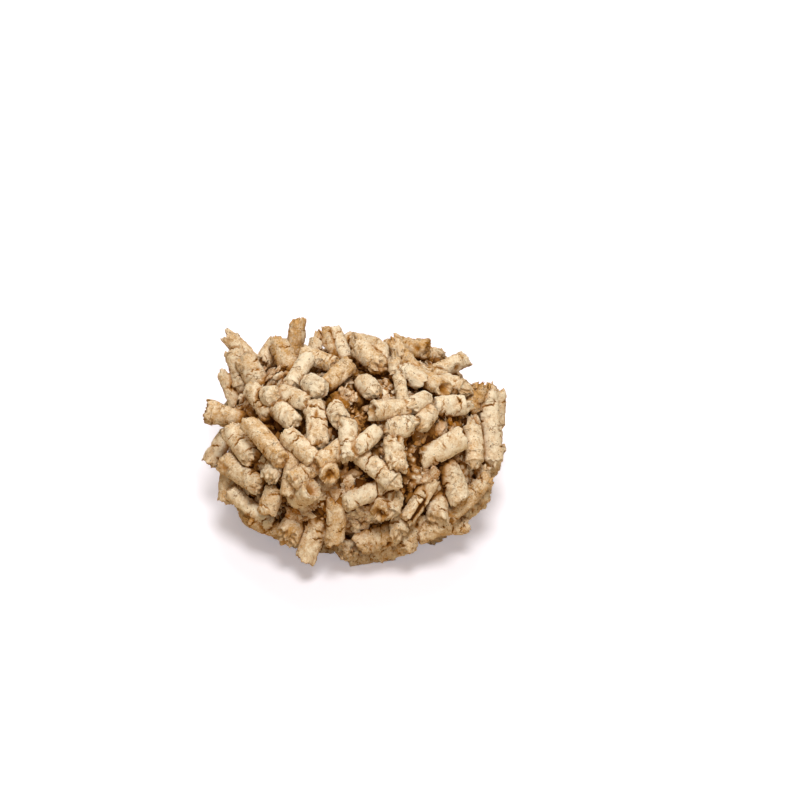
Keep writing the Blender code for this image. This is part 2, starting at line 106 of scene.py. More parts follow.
# Whole pellets, from the back of the clump to the front.  Each row gives the middle's place across
# and up the outline, as shares of its half width and half height seen from SIGHT_HEIGHT degrees
# above the front, the heading of the leading end in degrees, how far that end leans out, the
# length in millimetres, the girth against a fresh pellet, and the leading end.
WHOLE_PELLETS = [
    (-0.44, 0.90, 80, 0, 15, 0.95, RAW),
    (-0.29, 0.84, 85, 5, 11, 0.75, ROUND),
    (-0.12, 0.86, 113, -5, 14, 0.80, RAW),
    (-0.79, 0.81, 130, 0, 14, 0.95, RAW),
    (0.15, 0.75, 95, 0, 12, 0.95, ROUND),
    (0.62, 0.69, 25, 0, 13, 0.90, RAW),
    (0.30, 0.78, -54, 0, 13, 0.95, RAW),
    (0.89, 0.35, 90, 0, 14, 0.90, ROUND),
    (0.74, -0.45, 45, 0, 20, 0.85, RAW),
    (0.61, -0.70, 3, 0, 13, 0.95, RAW),
    (-0.72, -0.54, -38, 0, 19, 0.85, RAW),
    (-0.88, -0.33, 265, 0, 13, 0.95, RAW),
    (0.09, -0.95, 190, 0, 16, 0.95, RAW),
    (-0.94, -0.01, 238, 10, 14, 0.95, RAW),
    (-0.88, 0.50, 110, 0, 13, 0.75, ROUND),
    (-0.61, 0.80, 235, 30, 10, 0.95, HOLLOW),
    (0.07, 0.77, -45, 20, 14, 1.15, RAW),
    (-0.82, 0.65, 284, 10, 15, 1.05, ROUND),
    (-0.26, 0.74, -18, 10, 13, 0.95, RAW),
    (-0.50, 0.76, -63, 10, 15, 1.10, RAW),
    (-0.44, -0.21, 263, 10, 17, 0.95, RAW),
    (-0.15, -0.65, 268, 10, 16, 1.00, RAW),
    (-0.61, 0.03, -48, 5, 19, 1.05, RAW),
    (-0.87, 0.24, 165, 10, 15, 1.00, RAW),
    (0.48, 0.55, -25, 25, 13, 1.00, HOLLOW),
    (0.29, 0.48, -80, 5, 14, 0.65, ROUND),
    (-0.13, 0.61, 222, 15, 13, 1.00, RAW),
    (0.51, -0.70, 28, 10, 12, 1.10, HOLLOW),
    (-0.58, -0.47, 250, 20, 10, 1.05, HOLLOW),
    (0.07, 0.50, -45, 45, 12, 1.15, ROUND),
    (-0.40, 0.62, 240, 15, 14, 0.90, ROUND),
    (-0.29, 0.51, -30, 50, 11, 1.15, ROUND),
    (-0.35, -0.22, 215, 25, 11, 1.05, RAW),
    (0.41, 0.37, 205, 35, 11, 0.95, ROUND),
    (0.45, 0.23, 230, 30, 11, 1.00, ROUND),
    (-0.66, 0.38, -55, 5, 16, 1.00, RAW),
    (-0.48, 0.26, -42, 25, 13, 1.10, RAW),
    (-0.59, 0.42, 10, 60, 11, 1.15, ROUND),
    (0.21, 0.31, 183, 20, 13, 1.05, HOLLOW),
    (0.62, 0.34, 5, 10, 14, 1.15, ROUND),
    (-0.28, 0.17, -85, 15, 18, 1.15, RAW),
    (0.29, 0.16, 15, 15, 11, 1.15, ROUND),
    (0.25, -0.06, -80, 20, 12, 1.05, RAW),
    (0.77, 0.01, -86, 15, 16, 1.00, ROUND),
    (-0.17, -0.07, 215, 20, 13, 1.05, RAW),
    (-0.06, 0.05, -87, 15, 14, 0.95, RAW),
    (-0.38, -0.01, -42, 10, 15, 1.05, RAW),
    (-0.19, -0.19, 280, 65, 11, 1.00, HOLLOW),
    (0.56, -0.02, 28, 15, 17, 1.20, RAW),
    (0.06, -0.41, 203, 20, 17, 1.05, RAW),
    (0.89, 0.14, -86, 5, 26, 1.15, ROUND),
    (0.07, 0.06, 223, 20, 14, 0.95, RAW),
    (-0.78, 0.00, -52, 15, 15, 1.15, RAW),
    (-0.35, -0.41, 35, 50, 12, 1.15, HOLLOW),
    (0.13, -0.19, -38, 20, 19, 1.05, ROUND),
    (-0.77, -0.25, -33, 20, 17, 1.15, RAW),
    (0.41, -0.46, 238, 20, 16, 0.90, RAW),
    (0.63, -0.29, -69, 25, 16, 1.20, RAW),
    (-0.29, -0.73, 252, 20, 20, 1.15, HOLLOW),
]

# More of the same rows: pellets that have crumbled or grown into the mash where they lie.
GROWN_IN_PELLETS = [
    (-0.17, 0.86, 122, 5, 13, 0.85, RAW),
    (0.25, 0.67, -85, 0, 10, 0.70, ROUND),
    (0.95, 0.30, 85, 0, 13, 0.80, RAW),
    (-0.71, 0.61, 120, 0, 14, 1.20, RAW),
    (-0.62, -0.68, -22, 0, 15, 0.95, RAW),
    (-0.43, 0.41, -20, 10, 13, 1.05, RAW),
    (-0.13, 0.26, -60, 45, 9, 1.05, RAW),
    (-0.55, -0.18, 240, 45, 11, 1.00, RAW),
    (0.53, -0.52, 270, 50, 12, 1.15, RAW),
    (-0.44, -0.70, 240, 55, 11, 1.30, RAW),
    (0.24, -0.47, 255, 35, 12, 0.95, ROUND),
    (0.17, -0.49, 250, 55, 11, 1.00, HOLLOW),
    (0.28, -0.65, 262, 35, 11, 0.95, ROUND),
    (0.37, -0.74, 245, 15, 13, 1.00, RAW),
    (0.14, -0.79, 200, 10, 14, 1.30, RAW),
    (0.22, -0.88, 20, 10, 13, 1.20, RAW),
    (0.79, 0.40, 60, 10, 10, 0.95, RAW),
    (0.66, 0.51, -20, 30, 10, 1.00, ROUND),
    (0.35, 0.60, -30, 10, 10, 1.05, RAW),
]

# Pits of the mash, where one looks deep between the pellets, and its toasted spots.  Each row gives
# the place in the front view, as shares, as for the pellets, and the size in millimetres.
PITS = [
    (-0.75, 0.31, 4.0),
    (-0.50, 0.10, 4.5),
    (-0.01, 0.57, 4.0),
    (0.37, 0.27, 4.5),
    (0.41, 0.08, 4.5),
    (0.33, -0.22, 5.0),
    (0.33, -0.46, 4.5),
    (-0.14, 0.01, 4.0),
    (-0.66, -0.42, 4.0),
    (0.10, 0.22, 3.5),
    (0.66, -0.08, 3.5),
    (-0.03, -0.14, 3.5),
    (0.01, 0.38, 4.0),
    (0.55, 0.42, 3.5),
]
TOASTED = [
    (0.76, 0.58, 7.0),
    (0.72, 0.24, 6.0),
    (0.50, 0.09, 5.0),
    (-0.44, -0.70, 6.0),
    (0.05, -0.52, 6.0),
    (-0.17, 0.43, 5.0),
    (-0.52, 0.55, 4.0),
]

# How finely the envelope is searched along a line of sight, and how often its height is halved.
SIGHT_STEPS = 120
HALVINGS = 30

HALF_SIZES = (CLUMP_WIDTH / 2, CLUMP_DEPTH / 2, CLUMP_HEIGHT / 2)
MIDDLE = Vector((0.0, 0.0, CLUMP_HEIGHT / 2 - PRESSED_FLAT))

# The three directions of the front view: right, up and towards the eye.
SIGHT = math.radians(SIGHT_HEIGHT)
RIGHTWARD = Vector((1.0, 0.0, 0.0))
UPWARD = Vector((0.0, math.sin(SIGHT), math.cos(SIGHT)))
EYEWARD = Vector((0.0, -math.cos(SIGHT), math.sin(SIGHT)))

# What sets single pellets apart: tone runs from 0, pale, to 1, brown; crumble, ragged and cracks
# are times the usual amount; split is a lengthwise crack's depth in millimetres; spike is how far
# a splinter of the end stands out, and turn where round the pellet; flare widens the leading end,
# pinch narrows both, and tail is the other end.
PELLET_LOOKS = {
    "pellet_01": {"tone": 0.62, "ragged": 1.4},
    "pellet_03": {"tone": 0.10},
    "pellet_04": {"tone": 0.40, "ragged": 1.6, "spike": 3.4, "turn": 1.6},
    "pellet_05": {"tone": 0.30},
    "pellet_07": {"tone": 0.55, "crumble": 2.2, "ragged": 2.4},
    "pellet_16": {"tone": 0.45, "ragged": 1.5},
    "pellet_17": {"tone": 0.38, "ragged": 1.6, "crumble": 1.4, "spike": -4.0, "turn": 1.6},
    "pellet_20": {"tone": 0.60},
    "pellet_21": {"tone": 0.42, "crumble": 0.6},
    "pellet_22": {"tone": 0.52},
    "pellet_23": {"tone": 0.50, "cracks": 0.6},
    "pellet_24": {"tone": 0.48, "ragged": 2.0, "flare": 0.3},
    "pellet_26": {"tone": 0.22, "crumble": 0.7},
    "pellet_27": {"tone": 0.60},
    "pellet_30": {"tone": 0.24, "tail": ROUND, "pinch": 0.14},
    "pellet_31": {"tone": 0.08},
    "pellet_34": {"tone": 0.14, "tail": ROUND, "crumble": 0.6},
    "pellet_38": {"tone": 0.16, "cracks": 1.6},
    "pellet_40": {"tone": 0.04, "cracks": 2.0, "tail": ROUND, "pinch": 0.20},
    "pellet_41": {"tone": 0.20, "crumble": 1.8},
    "pellet_42": {"tone": 0.14, "cracks": 2.2, "crumble": 1.5, "tail": ROUND, "pinch": 0.12},
    "pellet_43": {"tone": 0.22, "crumble": 2.2, "ragged": 1.6},
    "pellet_44": {"tone": 0.30, "tail": ROUND, "crumble": 0.7},
    "pellet_46": {"tone": 0.18, "cracks": 2.0},
    "pellet_49": {"tone": 0.22},
    "pellet_50": {"tone": 0.10, "cracks": 2.2, "tail": ROUND, "pinch": 0.10},
    "pellet_51": {"tone": 0.05},
    "pellet_52": {"tone": 0.10, "cracks": 1.8, "tail": ROUND, "pinch": 0.30, "crumble": 0.7},
    "pellet_53": {"tone": 0.28},
    "pellet_55": {"tone": 0.12, "cracks": 1.8, "tail": ROUND},
    "pellet_57": {"tone": 0.45, "split": 1.2, "ragged": 1.8},
    "pellet_58": {"tone": 0.12, "tail": ROUND, "pinch": 0.10},
    "pellet_59": {"tone": 0.34, "ragged": 1.4},
    "grown_in_01": {"tone": 0.55},
    "grown_in_11": {"tone": 0.30, "crumble": 1.4},
    "grown_in_12": {"tone": 0.45, "crumble": 1.3, "cracks": 2.0},
    "grown_in_13": {"tone": 0.35, "crumble": 1.5, "cracks": 2.0},
    "grown_in_14": {"tone": 0.40, "crumble": 1.6, "cracks": 2.0},
    "grown_in_15": {"tone": 0.42, "crumble": 1.7, "cracks": 2.5},
    "grown_in_16": {"tone": 0.42, "crumble": 1.8, "cracks": 2.5},
    "grown_in_17": {"tone": 0.76, "crumble": 1.9, "ragged": 2.2},
}


def turn_to(axis):
    """The matrix that turns the Z axis to this one."""
    return Vector((0.0, 0.0, 1.0)).rotation_difference(axis).to_matrix().to_4x4()


def turn_from(heading, angle):
    """How far round angle is from heading, between minus half a turn and half a turn."""
    return (angle - heading + math.pi) % math.tau - math.pi


class Pellet:
    """Where one pellet lies, how big it is and what its leading end looks like."""

    BEAD_COUNT = 7

    def __init__(self, name, middle, axis, length, girth, end, seed):
        self.name = name
        self.middle = middle
        self.axis = axis.normalized()
        self.length = length
        self.radius = girth * SWELL * PELLET_DIAMETER / 2
        self.end = end
        self.seed = seed

    def beads(self):
        """Points spread along the axis, from end to end less the radius."""
        reach = max(self.length / 2 - self.radius, 0.0)
        steps = [2 * i / (self.BEAD_COUNT - 1) - 1 for i in range(self.BEAD_COUNT)]
        return [self.middle + self.axis * (reach * step) for step in steps]

    def gap_to(self, other):
        """Room between this pellet's skin and another's; less than nothing where they cross."""
        closest = min((p - q).length for p in self.beads() for q in other.beads())
        return closest - self.radius - other.radius

    def may_touch(self, other):
        reach = (self.length + other.length) / 2 + PELLET_DIAMETER
        return (self.middle - other.middle).length < reach

    def placement(self):
        """Turns a stick along Z so that it lies in the clump."""
        return Matrix.Translation(self.middle) @ turn_to(self.axis)


def envelope_level(point, inset=0.0):
    """Below 1 inside the clump's envelope, 1 on it and more outside.  point is from its middle."""
    shares = (abs(point[i]) / (HALF_SIZES[i] - inset) for i in range(3))
    return sum(share**CLUMP_FULLNESS for share in shares)


def on_envelope(direction, inset=0.0):
    """The point of the envelope that lies in this direction from its middle."""
    return direction * envelope_level(direction, inset) ** (-1 / CLUMP_FULLNESS)


def depth_in_clump(point):
    """How far the point, given from the clump's middle, lies under the envelope."""
    return point.length * (max(envelope_level(point), 0.01) ** (-1 / CLUMP_FULLNESS) - 1)


def envelope_normal(point):
    slope = [
        math.copysign((abs(point[i]) / HALF_SIZES[i]) ** (CLUMP_FULLNESS - 1) / HALF_SIZES[i], point[i])
        for i in range(3)
    ]
    return Vector(slope).normalized()


def depth_of_envelope(across, up):
    """How far in front of the middle the envelope lies there, or comes nearest to being."""
    reach = max(HALF_SIZES) * 1.3
    best_depth = 0.0
    best_level = math.inf
    for i in range(SIGHT_STEPS + 1):
        depth = reach * (1 - 2 * i / SIGHT_STEPS)
        level = envelope_level(RIGHTWARD * across + UPWARD * up + EYEWARD * depth)
        if level <= 1:
            return depth
        if level < best_level:
            best_depth, best_level = depth, level
    return best_depth


def outline_half_height():
    """Half the envelope's height in the front view."""
    low, high = 0.0, max(HALF_SIZES) * 1.5
    for _ in range(HALVINGS):
        up = (low + high) / 2
        depth = depth_of_envelope(0.0, up)
        inside = envelope_level(UPWARD * up + EYEWARD * depth) <= 1
        low, high = (up, high) if inside else (low, up)
    return low


def half_outline():
    """Half the width and half the height of the front view, pellets and all."""
    return (CLUMP_WIDTH / 2 + PELLET_DIAMETER / 2, outline_half_height() + PELLET_DIAMETER / 2)


def spot_of_front(across_share, up_share, outline):
    """The envelope's point at a place of the front view, from the middle."""
    across, up = across_share * outline[0], up_share * outline[1]
    return RIGHTWARD * across + UPWARD * up + EYEWARD * depth_of_envelope(across, up)


def laid_pellet(name, row, seed, outline):
    """A pellet of the tables, lying along the envelope where its row puts it."""
    across_share, up_share, turn, lean, length_mm, girth, end = row
    surface = spot_of_front(across_share, up_share, outline)
    normal = envelope_normal(surface)
    heading, lean = math.radians(turn), math.radians(lean)
    flat = RIGHTWARD * math.cos(heading) + UPWARD * math.sin(heading)
    along = (flat - EYEWARD * (flat.dot(normal) * normal.dot(EYEWARD))).normalized()
    axis = (along * math.cos(lean) + EYEWARD * math.sin(lean)).normalized()
    length = length_mm * MM
    radius = girth * SWELL * PELLET_DIAMETER / 2
    front = abs(math.sin(lean)) * (length / 2 - radius) + radius
    middle = MIDDLE + surface + EYEWARD * (STAND_PROUD - front)
    return Pellet(name, middle, axis, length, girth, end, seed)


def settle(pellet, laid):
    """Moves a pellet towards the eye until it lies on those before it, or presses into them."""
    near = [other for other in laid if pellet.may_touch(other)]
    lift = 0.0
    while lift < MOST_LIFT and any(pellet.gap_to(other) < 0 for other in near):
        pellet.middle = pellet.middle + EYEWARD * LIFT_STEP
        lift += LIFT_STEP


def lay_pellets():
    """The whole pellets and those grown into the mash, each in its place."""
    outline = half_outline()
    grown_in = [
        laid_pellet(f"grown_in_{i:02d}", row, 500 + i, outline)
        for i, row in enumerate(GROWN_IN_PELLETS, 1)
    ]
    whole = []
    for i, row in enumerate(WHOLE_PELLETS, 1):
        pellet = laid_pellet(f"pellet_{i:02d}", row, i, outline)
        settle(pellet, whole)
        whole.append(pellet)
    return whole, grown_in


def soaked_pellet(i, tries, sink, name, seed):
    """The i-th of an even spread of places over the envelope, with a pellet turned at random."""
    rng = random.Random(seed)
    golden_angle = math.pi * (3 - math.sqrt(5))
    height = 1 - (2 * i + 1) / tries
    ring = math.sqrt(1 - height**2)
    angle = i * golden_angle
    surface = on_envelope(Vector((ring * math.cos(angle), ring * math.sin(angle), height)))
    normal = envelope_normal(surface)
    side = normal.orthogonal().normalized()
    side.rotate(Matrix.Rotation(rng.uniform(0, math.tau), 3, normal))
    tilt = math.radians(rng.uniform(-SOAKED_TILT, SOAKED_TILT))
    axis = side * math.cos(tilt) + normal * math.sin(tilt)
    middle = MIDDLE + surface - normal * sink
    length = rng.uniform(*SOAKED_LENGTH)
    girth = rng.uniform(*SOAKED_SWELL)
    end = rng.choice((RAW, RAW, ROUND, HOLLOW))
    return Pellet(name, middle, axis, length, girth, end, seed)


def placed_spots(rows):
    """The pits' or spots' places from the middle, with their sizes."""
    outline = half_outline()
    return [(spot_of_front(across, up, outline), size * MM) for across, up, size in rows]


def clear_of_pits(pellet, pits):
    place = pellet.middle - MIDDLE
    return all((place - pit).length > size + PIT_MARGIN for pit, size in pits)


def soak_pellets(laid):
    """Soaked pellets wherever those already laid leave room, all over the clump."""
    pits = placed_spots(PITS)
    soaked = []
    for layer, (tries, sink, squeeze) in enumerate(SOAKED_LAYERS, 1):
        order = list(range(tries))
        random.Random(layer).shuffle(order)
        for i in order:
            pellet = soaked_pellet(i, tries, sink, f"soaked_{layer}_{i:03d}", 1000 * layer + i)
            near = [other for other in laid + soaked if pellet.may_touch(other)]
            roomy = all(pellet.gap_to(other) > -squeeze for other in near)
            if roomy and clear_of_pits(pellet, pits):
                soaked.append(pellet)
    return soaked


WHOLE, GROWN_IN = lay_pellets()
SOAKED = soak_pellets(WHOLE + GROWN_IN)


# Wear: what damp and handling do to a pressed stick of sawdust, and the painted shade in its cracks and
# between the pellets.

# How much painted shade, as recess, other pellets close by give to a pellet's skin and to the mash, and
# how much comes with depth under the envelope: the most, where it starts and over how far it grows.
CREVICE_SHADE = 0.34
MASH_SHADE = 0.65
DEPTH_SHADE = 0.9
SHADE_STARTS = 0.2 * MM
SHADE_GROWS = 5.0 * MM


def smooth_step(value):
    value = min(max(value, 0.0), 1.0)
    return value * value * (3 - 2 * value)


class Crack:
    """A crack across a pellet: where it runs, how far round, how deep and how wide."""

    # How quickly it wanders along its way, and how many widths from its middle it ends.
    WANDER_PACE = 3.0
    WALL = 2.5

    def __init__(self, rng, pellet, depth):
        half = pellet.length / 2
        self.height = rng.uniform(-0.8, 0.8) * half
        self.heading = rng.uniform(-math.pi, math.pi)
        self.span = rng.uniform(0.4, 1.3)
        self.depth = depth * rng.uniform(0.4, 1.1)
        self.width = rng.uniform(0.16, 0.34) * MM
        self.wander = rng.uniform(0.5, 1.6) * MM
        self.slope = rng.uniform(-1.4, 1.4) * MM
        self.offset = rng.uniform(0, 50)

    def groove(self, angle, height):
        turned = turn_from(self.heading, angle)
        if abs(turned) >= self.span:
            return 0.0
        wave = noise.noise(Vector((turned * self.WANDER_PACE, self.offset, 0.0)))
        middle = self.height + self.slope * turned + self.wander * wave
        across = (height - middle) / self.width
        if abs(across) > self.WALL:
            return 0.0
        return self.depth * math.exp(-across * across) * (1 - (turned / self.span) ** 2)


class Wear:
    """One pellet's wear, worked out from its seed and from what the looks table says of it."""

    RIMS = {RAW: 0.25 * MM, HOLLOW: 0.3 * MM, ROUND: 2.2 * MM}
    RIM_ROUNDING = 0.6
    END_ZONE = 2.0 * MM

    # Widths of the skin's forms, in millimetres.
    SWELL_WIDTH = 4.5
    LUMP_WIDTH = 1.7
    GRAIN_WIDTH = 0.75
    BITE_WIDTH = 2.7
    FOLD_WIDTH = 1.5
    TORN_WIDTH = 1.5
    TORN_FIBRE_WIDTH = 0.6

    # How high the torn fibres are beside the rest of a torn end.
    TORN_FIBRE_SHARE = 0.6

    # Where in the noise bites are read, from what level on the skin is bitten, and how much of
    # the noise round 0 is a wrinkle.
    BITE_PLACE = Vector((31.0, 7.0, 3.0))
    BITE_LEVEL = 0.22
    WRINKLE_WIDTH = 0.10

    # How far round a split and a splinter reach, in radians.
    SPLIT_WIDTH = 0.22
    SPIKE_WIDTH = 0.55

    # A hollow end's cup, as shares of the radius.
    CUP_EDGE = 0.80
    CUP_SLOPE = 0.6

    # Painted shade, as recess, of a bite one millimetre deep and of a cup, how much browner an end is,
    # and what counts as an end: the share of the radius and the greatest depth.
    BITE_SHADE = 0.5
    CUP_SHADE = 0.5
    END_TONE = 0.18
    END_SHARE = 0.98
    END_DEPTH = 0.01 * MM

    def __init__(self, pellet, settings, crumble=1.0):
        rng = random.Random(pellet.seed)
        look = PELLET_LOOKS.get(pellet.name, {})
        self.slants = (rng.uniform(*END_SLANT), rng.uniform(*END_SLANT))
        self.pellet = pellet
        self.half = pellet.length / 2
        self.offset = Vector((rng.uniform(0, 90), rng.uniform(0, 90), rng.uniform(0, 90)))
        self.crumble = crumble * look.get("crumble", rng.uniform(0.8, 1.3))
        self.ragged = crumble * look.get("ragged", rng.uniform(0.8, 1.5))
        self.tone = look.get("tone", min(max(rng.gauss(0.36, 0.16), 0.0), 0.8))
        self.taper = rng.uniform(-0.06, 0.06)
        self.tail = look.get("tail", rng.choice((RAW, RAW, RAW, ROUND)))
        share = look.get("cracks", rng.uniform(0.5, 1.5))
        count = round(settings.cracks_per_pellet * share * pellet.length / LONG_PELLET)
        self.cracks = [Crack(rng, pellet, settings.crack_depth) for _ in range(count)]
        self.split = look.get("split", 0.0) * MM
        self.flare = look.get("flare", 0.0)
        self.pinch = look.get("pinch", 0.0)
        self.spike = look.get("spike", 0.0) * MM
        self.turn = look.get("turn", rng.uniform(-math.pi, math.pi))
        self.settings = settings

    def end_of(self, leading):
        return self.pellet.end if leading else self.tail

    def skin(self, spot):
        """How far the skin stands out there, from swells down to grains."""
        swell = noise.noise(spot / self.SWELL_WIDTH) * self.settings.swell_height
        lump = noise.noise(spot / self.LUMP_WIDTH) * self.settings.lump_height
        grain = noise.noise(spot / self.GRAIN_WIDTH) * self.settings.grain_height
        bite = max(noise.noise(spot / self.BITE_WIDTH + self.BITE_PLACE) - self.BITE_LEVEL, 0.0)
        across = Vector((spot.x / self.FOLD_WIDTH, spot.y / self.FOLD_WIDTH, spot.z))
        fold = abs(noise.noise(across + self.offset))
        wrinkle = max(1 - fold / self.WRINKLE_WIDTH, 0.0) * self.settings.wrinkle_depth
        return (swell + lump + grain - bite * self.settings.bite_depth - wrinkle) * self.crumble

    def torn_noise(self, spot, width, level):
        return noise.noise(Vector((spot.x / width, spot.y / width, level)))

    def weather(self, point):
        """Where a point of the fresh stick ends up, its tone and its recess, the painted shade in its
        cracks, bites and cup.
        """
        radius = self.pellet.radius
        share = min(math.hypot(point.x, point.y) / radius, 1.0)
        leading = point.z > 0
        outward = 1 if leading else -1
        end = self.end_of(leading)
        rim = self.RIMS[end]
        from_end = self.half - abs(point.z)
        near_end = smooth_step(1 - from_end / self.END_ZONE)
        angle = math.atan2(point.y, point.x)
        spot = point / MM + self.offset

        push = self.skin(spot)
        groove = sum(crack.groove(angle, point.z) for crack in self.cracks) * share
        if self.split:
            turned = turn_from(self.turn, angle)
            open_end = smooth_step(0.5 + point.z / self.half)
            groove += self.split * open_end * math.exp(-((turned / self.SPLIT_WIDTH) ** 2)) * share
        over_rim = min(max(1 - from_end / rim, 0.0), 1.0)
        slimming = self.RIM_ROUNDING * rim * (1 - math.sqrt(1 - over_rim * over_rim))
        girth = 1 + self.taper * point.z / self.half + (push - groove - slimming) / radius
        girth += self.flare * smooth_step(point.z / self.half)
        girth -= self.pinch * (point.z / self.half) ** 2

        lift = self.slants[leading] * point.x * near_end
        torn = self.torn_noise(spot, self.TORN_WIDTH, self.offset.z)
        fibres = self.torn_noise(spot, self.TORN_FIBRE_WIDTH, self.offset.z + 9)
        torn += self.TORN_FIBRE_SHARE * fibres
        lift += outward * torn * near_end * self.ragged * self.settings.torn_height
        if self.spike and leading == (self.spike > 0):
            turned = turn_from(self.turn, angle)
            splinter = math.exp(-((turned / self.SPIKE_WIDTH) ** 2))
            lift += self.spike * near_end * share * share * splinter
        into_rim = min(max((share * radius - radius + rim) / rim, 0.0), 1.0)
        lift -= outward * near_end * self.RIM_ROUNDING * rim * (1 - math.sqrt(1 - into_rim * into_rim))
        # The recess is painted shade: darker in cracks and splits, in bitten patches and in a hollow
        # end's cup.
        recess = groove / self.settings.crack_depth + max(-push / MM, 0.0) * self.BITE_SHADE
        if end == HOLLOW:
            cup = smooth_step((self.CUP_EDGE - share) / self.CUP_SLOPE) * near_end
            lift -= outward * HOLLOW_DEPTH * cup
            recess += self.CUP_SHADE * cup
        elif end == ROUND:
            lift += outward * ROUND_RISE * (1 - share * share) * near_end

        tone = self.tone
        if share < self.END_SHARE and from_end < self.END_DEPTH:
            tone += self.END_TONE

        bow = BOW * (1 - abs(point.z) / self.half) if self.pellet.length >= LONG_PELLET else 0.0
        moved = Vector((point.x * girth + bow, point.y * girth, point.z + lift))
        return moved, tone, recess


def wood_layers(bm):
    """The layers that every wood material reads: tone and recess, the painted shade."""
    return bm.verts.layers.float.new("tone"), bm.verts.layers.float.new("recess")


def pellet_layers(bm):
    """A pellet's layers: the place along the fresh stick, tone and recess."""
    return bm.verts.layers.float_vector.new("stick_place"), *wood_layers(bm)


class Crevices:
    """Tells how closely other pellets hem in a place, for the painted shade where they touch."""

    # Beads along each pellet's axis stand for it, from this share of its radius before each end.
    BEAD_STEP = 1.5 * MM
    END_MARGIN = 0.7
    REACH = 5.6 * MM
    OPEN_GAP = 1.1 * MM

    def __init__(self, pellets):
        self.beads = []
        for pellet in pellets:
            reach = max(pellet.length / 2 - self.END_MARGIN * pellet.radius, 0.0)
            steps = max(round(2 * reach / self.BEAD_STEP), 1)
            for i in range(steps + 1):
                middle = pellet.middle + pellet.axis * reach * (2 * i / steps - 1)
                self.beads.append((middle, pellet.radius, pellet.name))
        self.tree = kdtree.KDTree(len(self.beads))
        for i, (middle, _, _) in enumerate(self.beads):
            self.tree.insert(middle, i)
        self.tree.balance()

    def closeness(self, place, own_name=None):
        """1 where another pellet touches the place, 0 where all lie clear of it."""
        gap = self.OPEN_GAP
        for _, i, distance in self.tree.find_range(place, self.REACH):
            _, radius, name = self.beads[i]
            if name != own_name:
                gap = min(gap, distance - radius)
        return 1 - smooth_step(gap / self.OPEN_GAP)


CREVICES = Crevices(WHOLE + GROWN_IN + SOAKED)


def shade_between(place, own_name=None):
    """Painted shade deep between the pellets and where they touch: darker with depth under the envelope
    and near other pellets.
    """
    depth = depth_in_clump(place - MIDDLE)
    deep = DEPTH_SHADE * smooth_step((depth - SHADE_STARTS) / SHADE_GROWS)
    return deep + CREVICE_SHADE * CREVICES.closeness(place, own_name)


def weathered_pellet(pellet, wear, sides, ring_step, cap_rings):
    """A bmesh of one pellet in its place, with its wear."""
    bm = bmesh.new()
    place_layer, tone_layer, recess_layer = pellet_layers(bm)
    bmesh.ops.create_cone(
        bm,
        cap_ends=True,
        segments=sides,
        radius1=pellet.radius,
        radius2=pellet.radius,
        depth=pellet.length,
    )
    rising = [e for e in bm.edges if abs(e.verts[0].co.z - e.verts[1].co.z) > pellet.length / 2]
    bmesh.ops.subdivide_edges(bm, edges=rising, cuts=round(pellet.length / ring_step))
    for cap in [face for face in bm.faces if len(face.verts) > 4]:
        for _ in range(cap_rings):
            bmesh.ops.inset_region(bm, faces=[cap], thickness=pellet.radius / (cap_rings + 1))
        bmesh.ops.poke(bm, faces=[cap])
    placement = pellet.placement()
    for vert in bm.verts:
        fresh = vert.co.copy()
        moved, tone, recess = wear.weather(fresh)
        vert[place_layer] = fresh + wear.offset * MM
        vert[tone_layer] = tone
        vert.co = placement @ moved
        vert.co.z = max(vert.co.z, 0.0)
        # The recess is painted shade: the pellet's own cracks and cups, its depth in the clump and
        # where other pellets touch it.
        vert[recess_layer] = min(recess + shade_between(vert.co, pellet.name), 1.0)
    return bm


def finished_object(name, bm):
    """An object at the origin, smooth shaded, with its place in its mesh."""
    mesh = bpy.data.meshes.new(name)
    bm.to_mesh(mesh)
    bm.free()
    mesh.shade_smooth()
    obj = bpy.data.objects.new(name, mesh)
    bpy.context.scene.collection.objects.link(obj)
    return obj


def gather(target, source):
    """Adds one bmesh to another and frees it."""
    mesh = bpy.data.meshes.new("gathered")
    source.to_mesh(mesh)
    source.free()
    target.from_mesh(mesh)
    bpy.data.meshes.remove(mesh)


# Materials

WOOD_GLOSS = 0.06
BUMP_STRENGTH = 0.9

# How many of the wood's clouds, grains, flecks and patches of flecks come to a millimetre.
CLOUDS_PER_MM = 0.32
GRAINS_PER_MM = 1.6
FLECKS_PER_MM = 0.95
FLECK_PATCHES_PER_MM = 0.5

# How much clouds and grains change the tone, and how much a fleck lowers the skin.
CLOUD_TONES = (-0.24, 0.30)
GRAIN_TONES = (-0.34, 0.36)
FLECK_DEPTH = -0.4

# Painted shade: the recess at which the wood starts to take the damp colour and takes it fully, the
# same for the darkest brown, and how strong each gets.
SHADE_RECESS = (0.05, 0.55)
DARK_RECESS = (0.38, 0.95)
MOST_SHADE = 0.92
MOST_DARK = 0.96

# Hairline cracks: cells a metre across and along the stick, how bent they are, how dark their painted
# shade is and how deep.
HAIRLINE_CELLS = (300.0, 300.0, 720.0)
HAIRLINE_BEND = (1.1, 1.1, 1.1)
HAIRLINE_SHADE = 0.75
HAIRLINE_DEPTH = 1.2


def feed(tree, sockets, values):
    """Gives each socket its value, or links it to another node's output."""
    for socket, value in zip(sockets, values):
        if isinstance(value, bpy.types.NodeSocket):
            tree.links.new(value, socket)
        else:
            socket.default_value = value


def add_node(tree, kind, settings=None, **sockets):
    """A node with its settings; sockets hold values or other nodes' outputs."""
    node = tree.nodes.new(kind)
    for key, value in (settings or {}).items():
        setattr(node, key, value)
    feed(tree, [node.inputs[key.replace("_", " ")] for key in sockets], sockets.values())
    return node


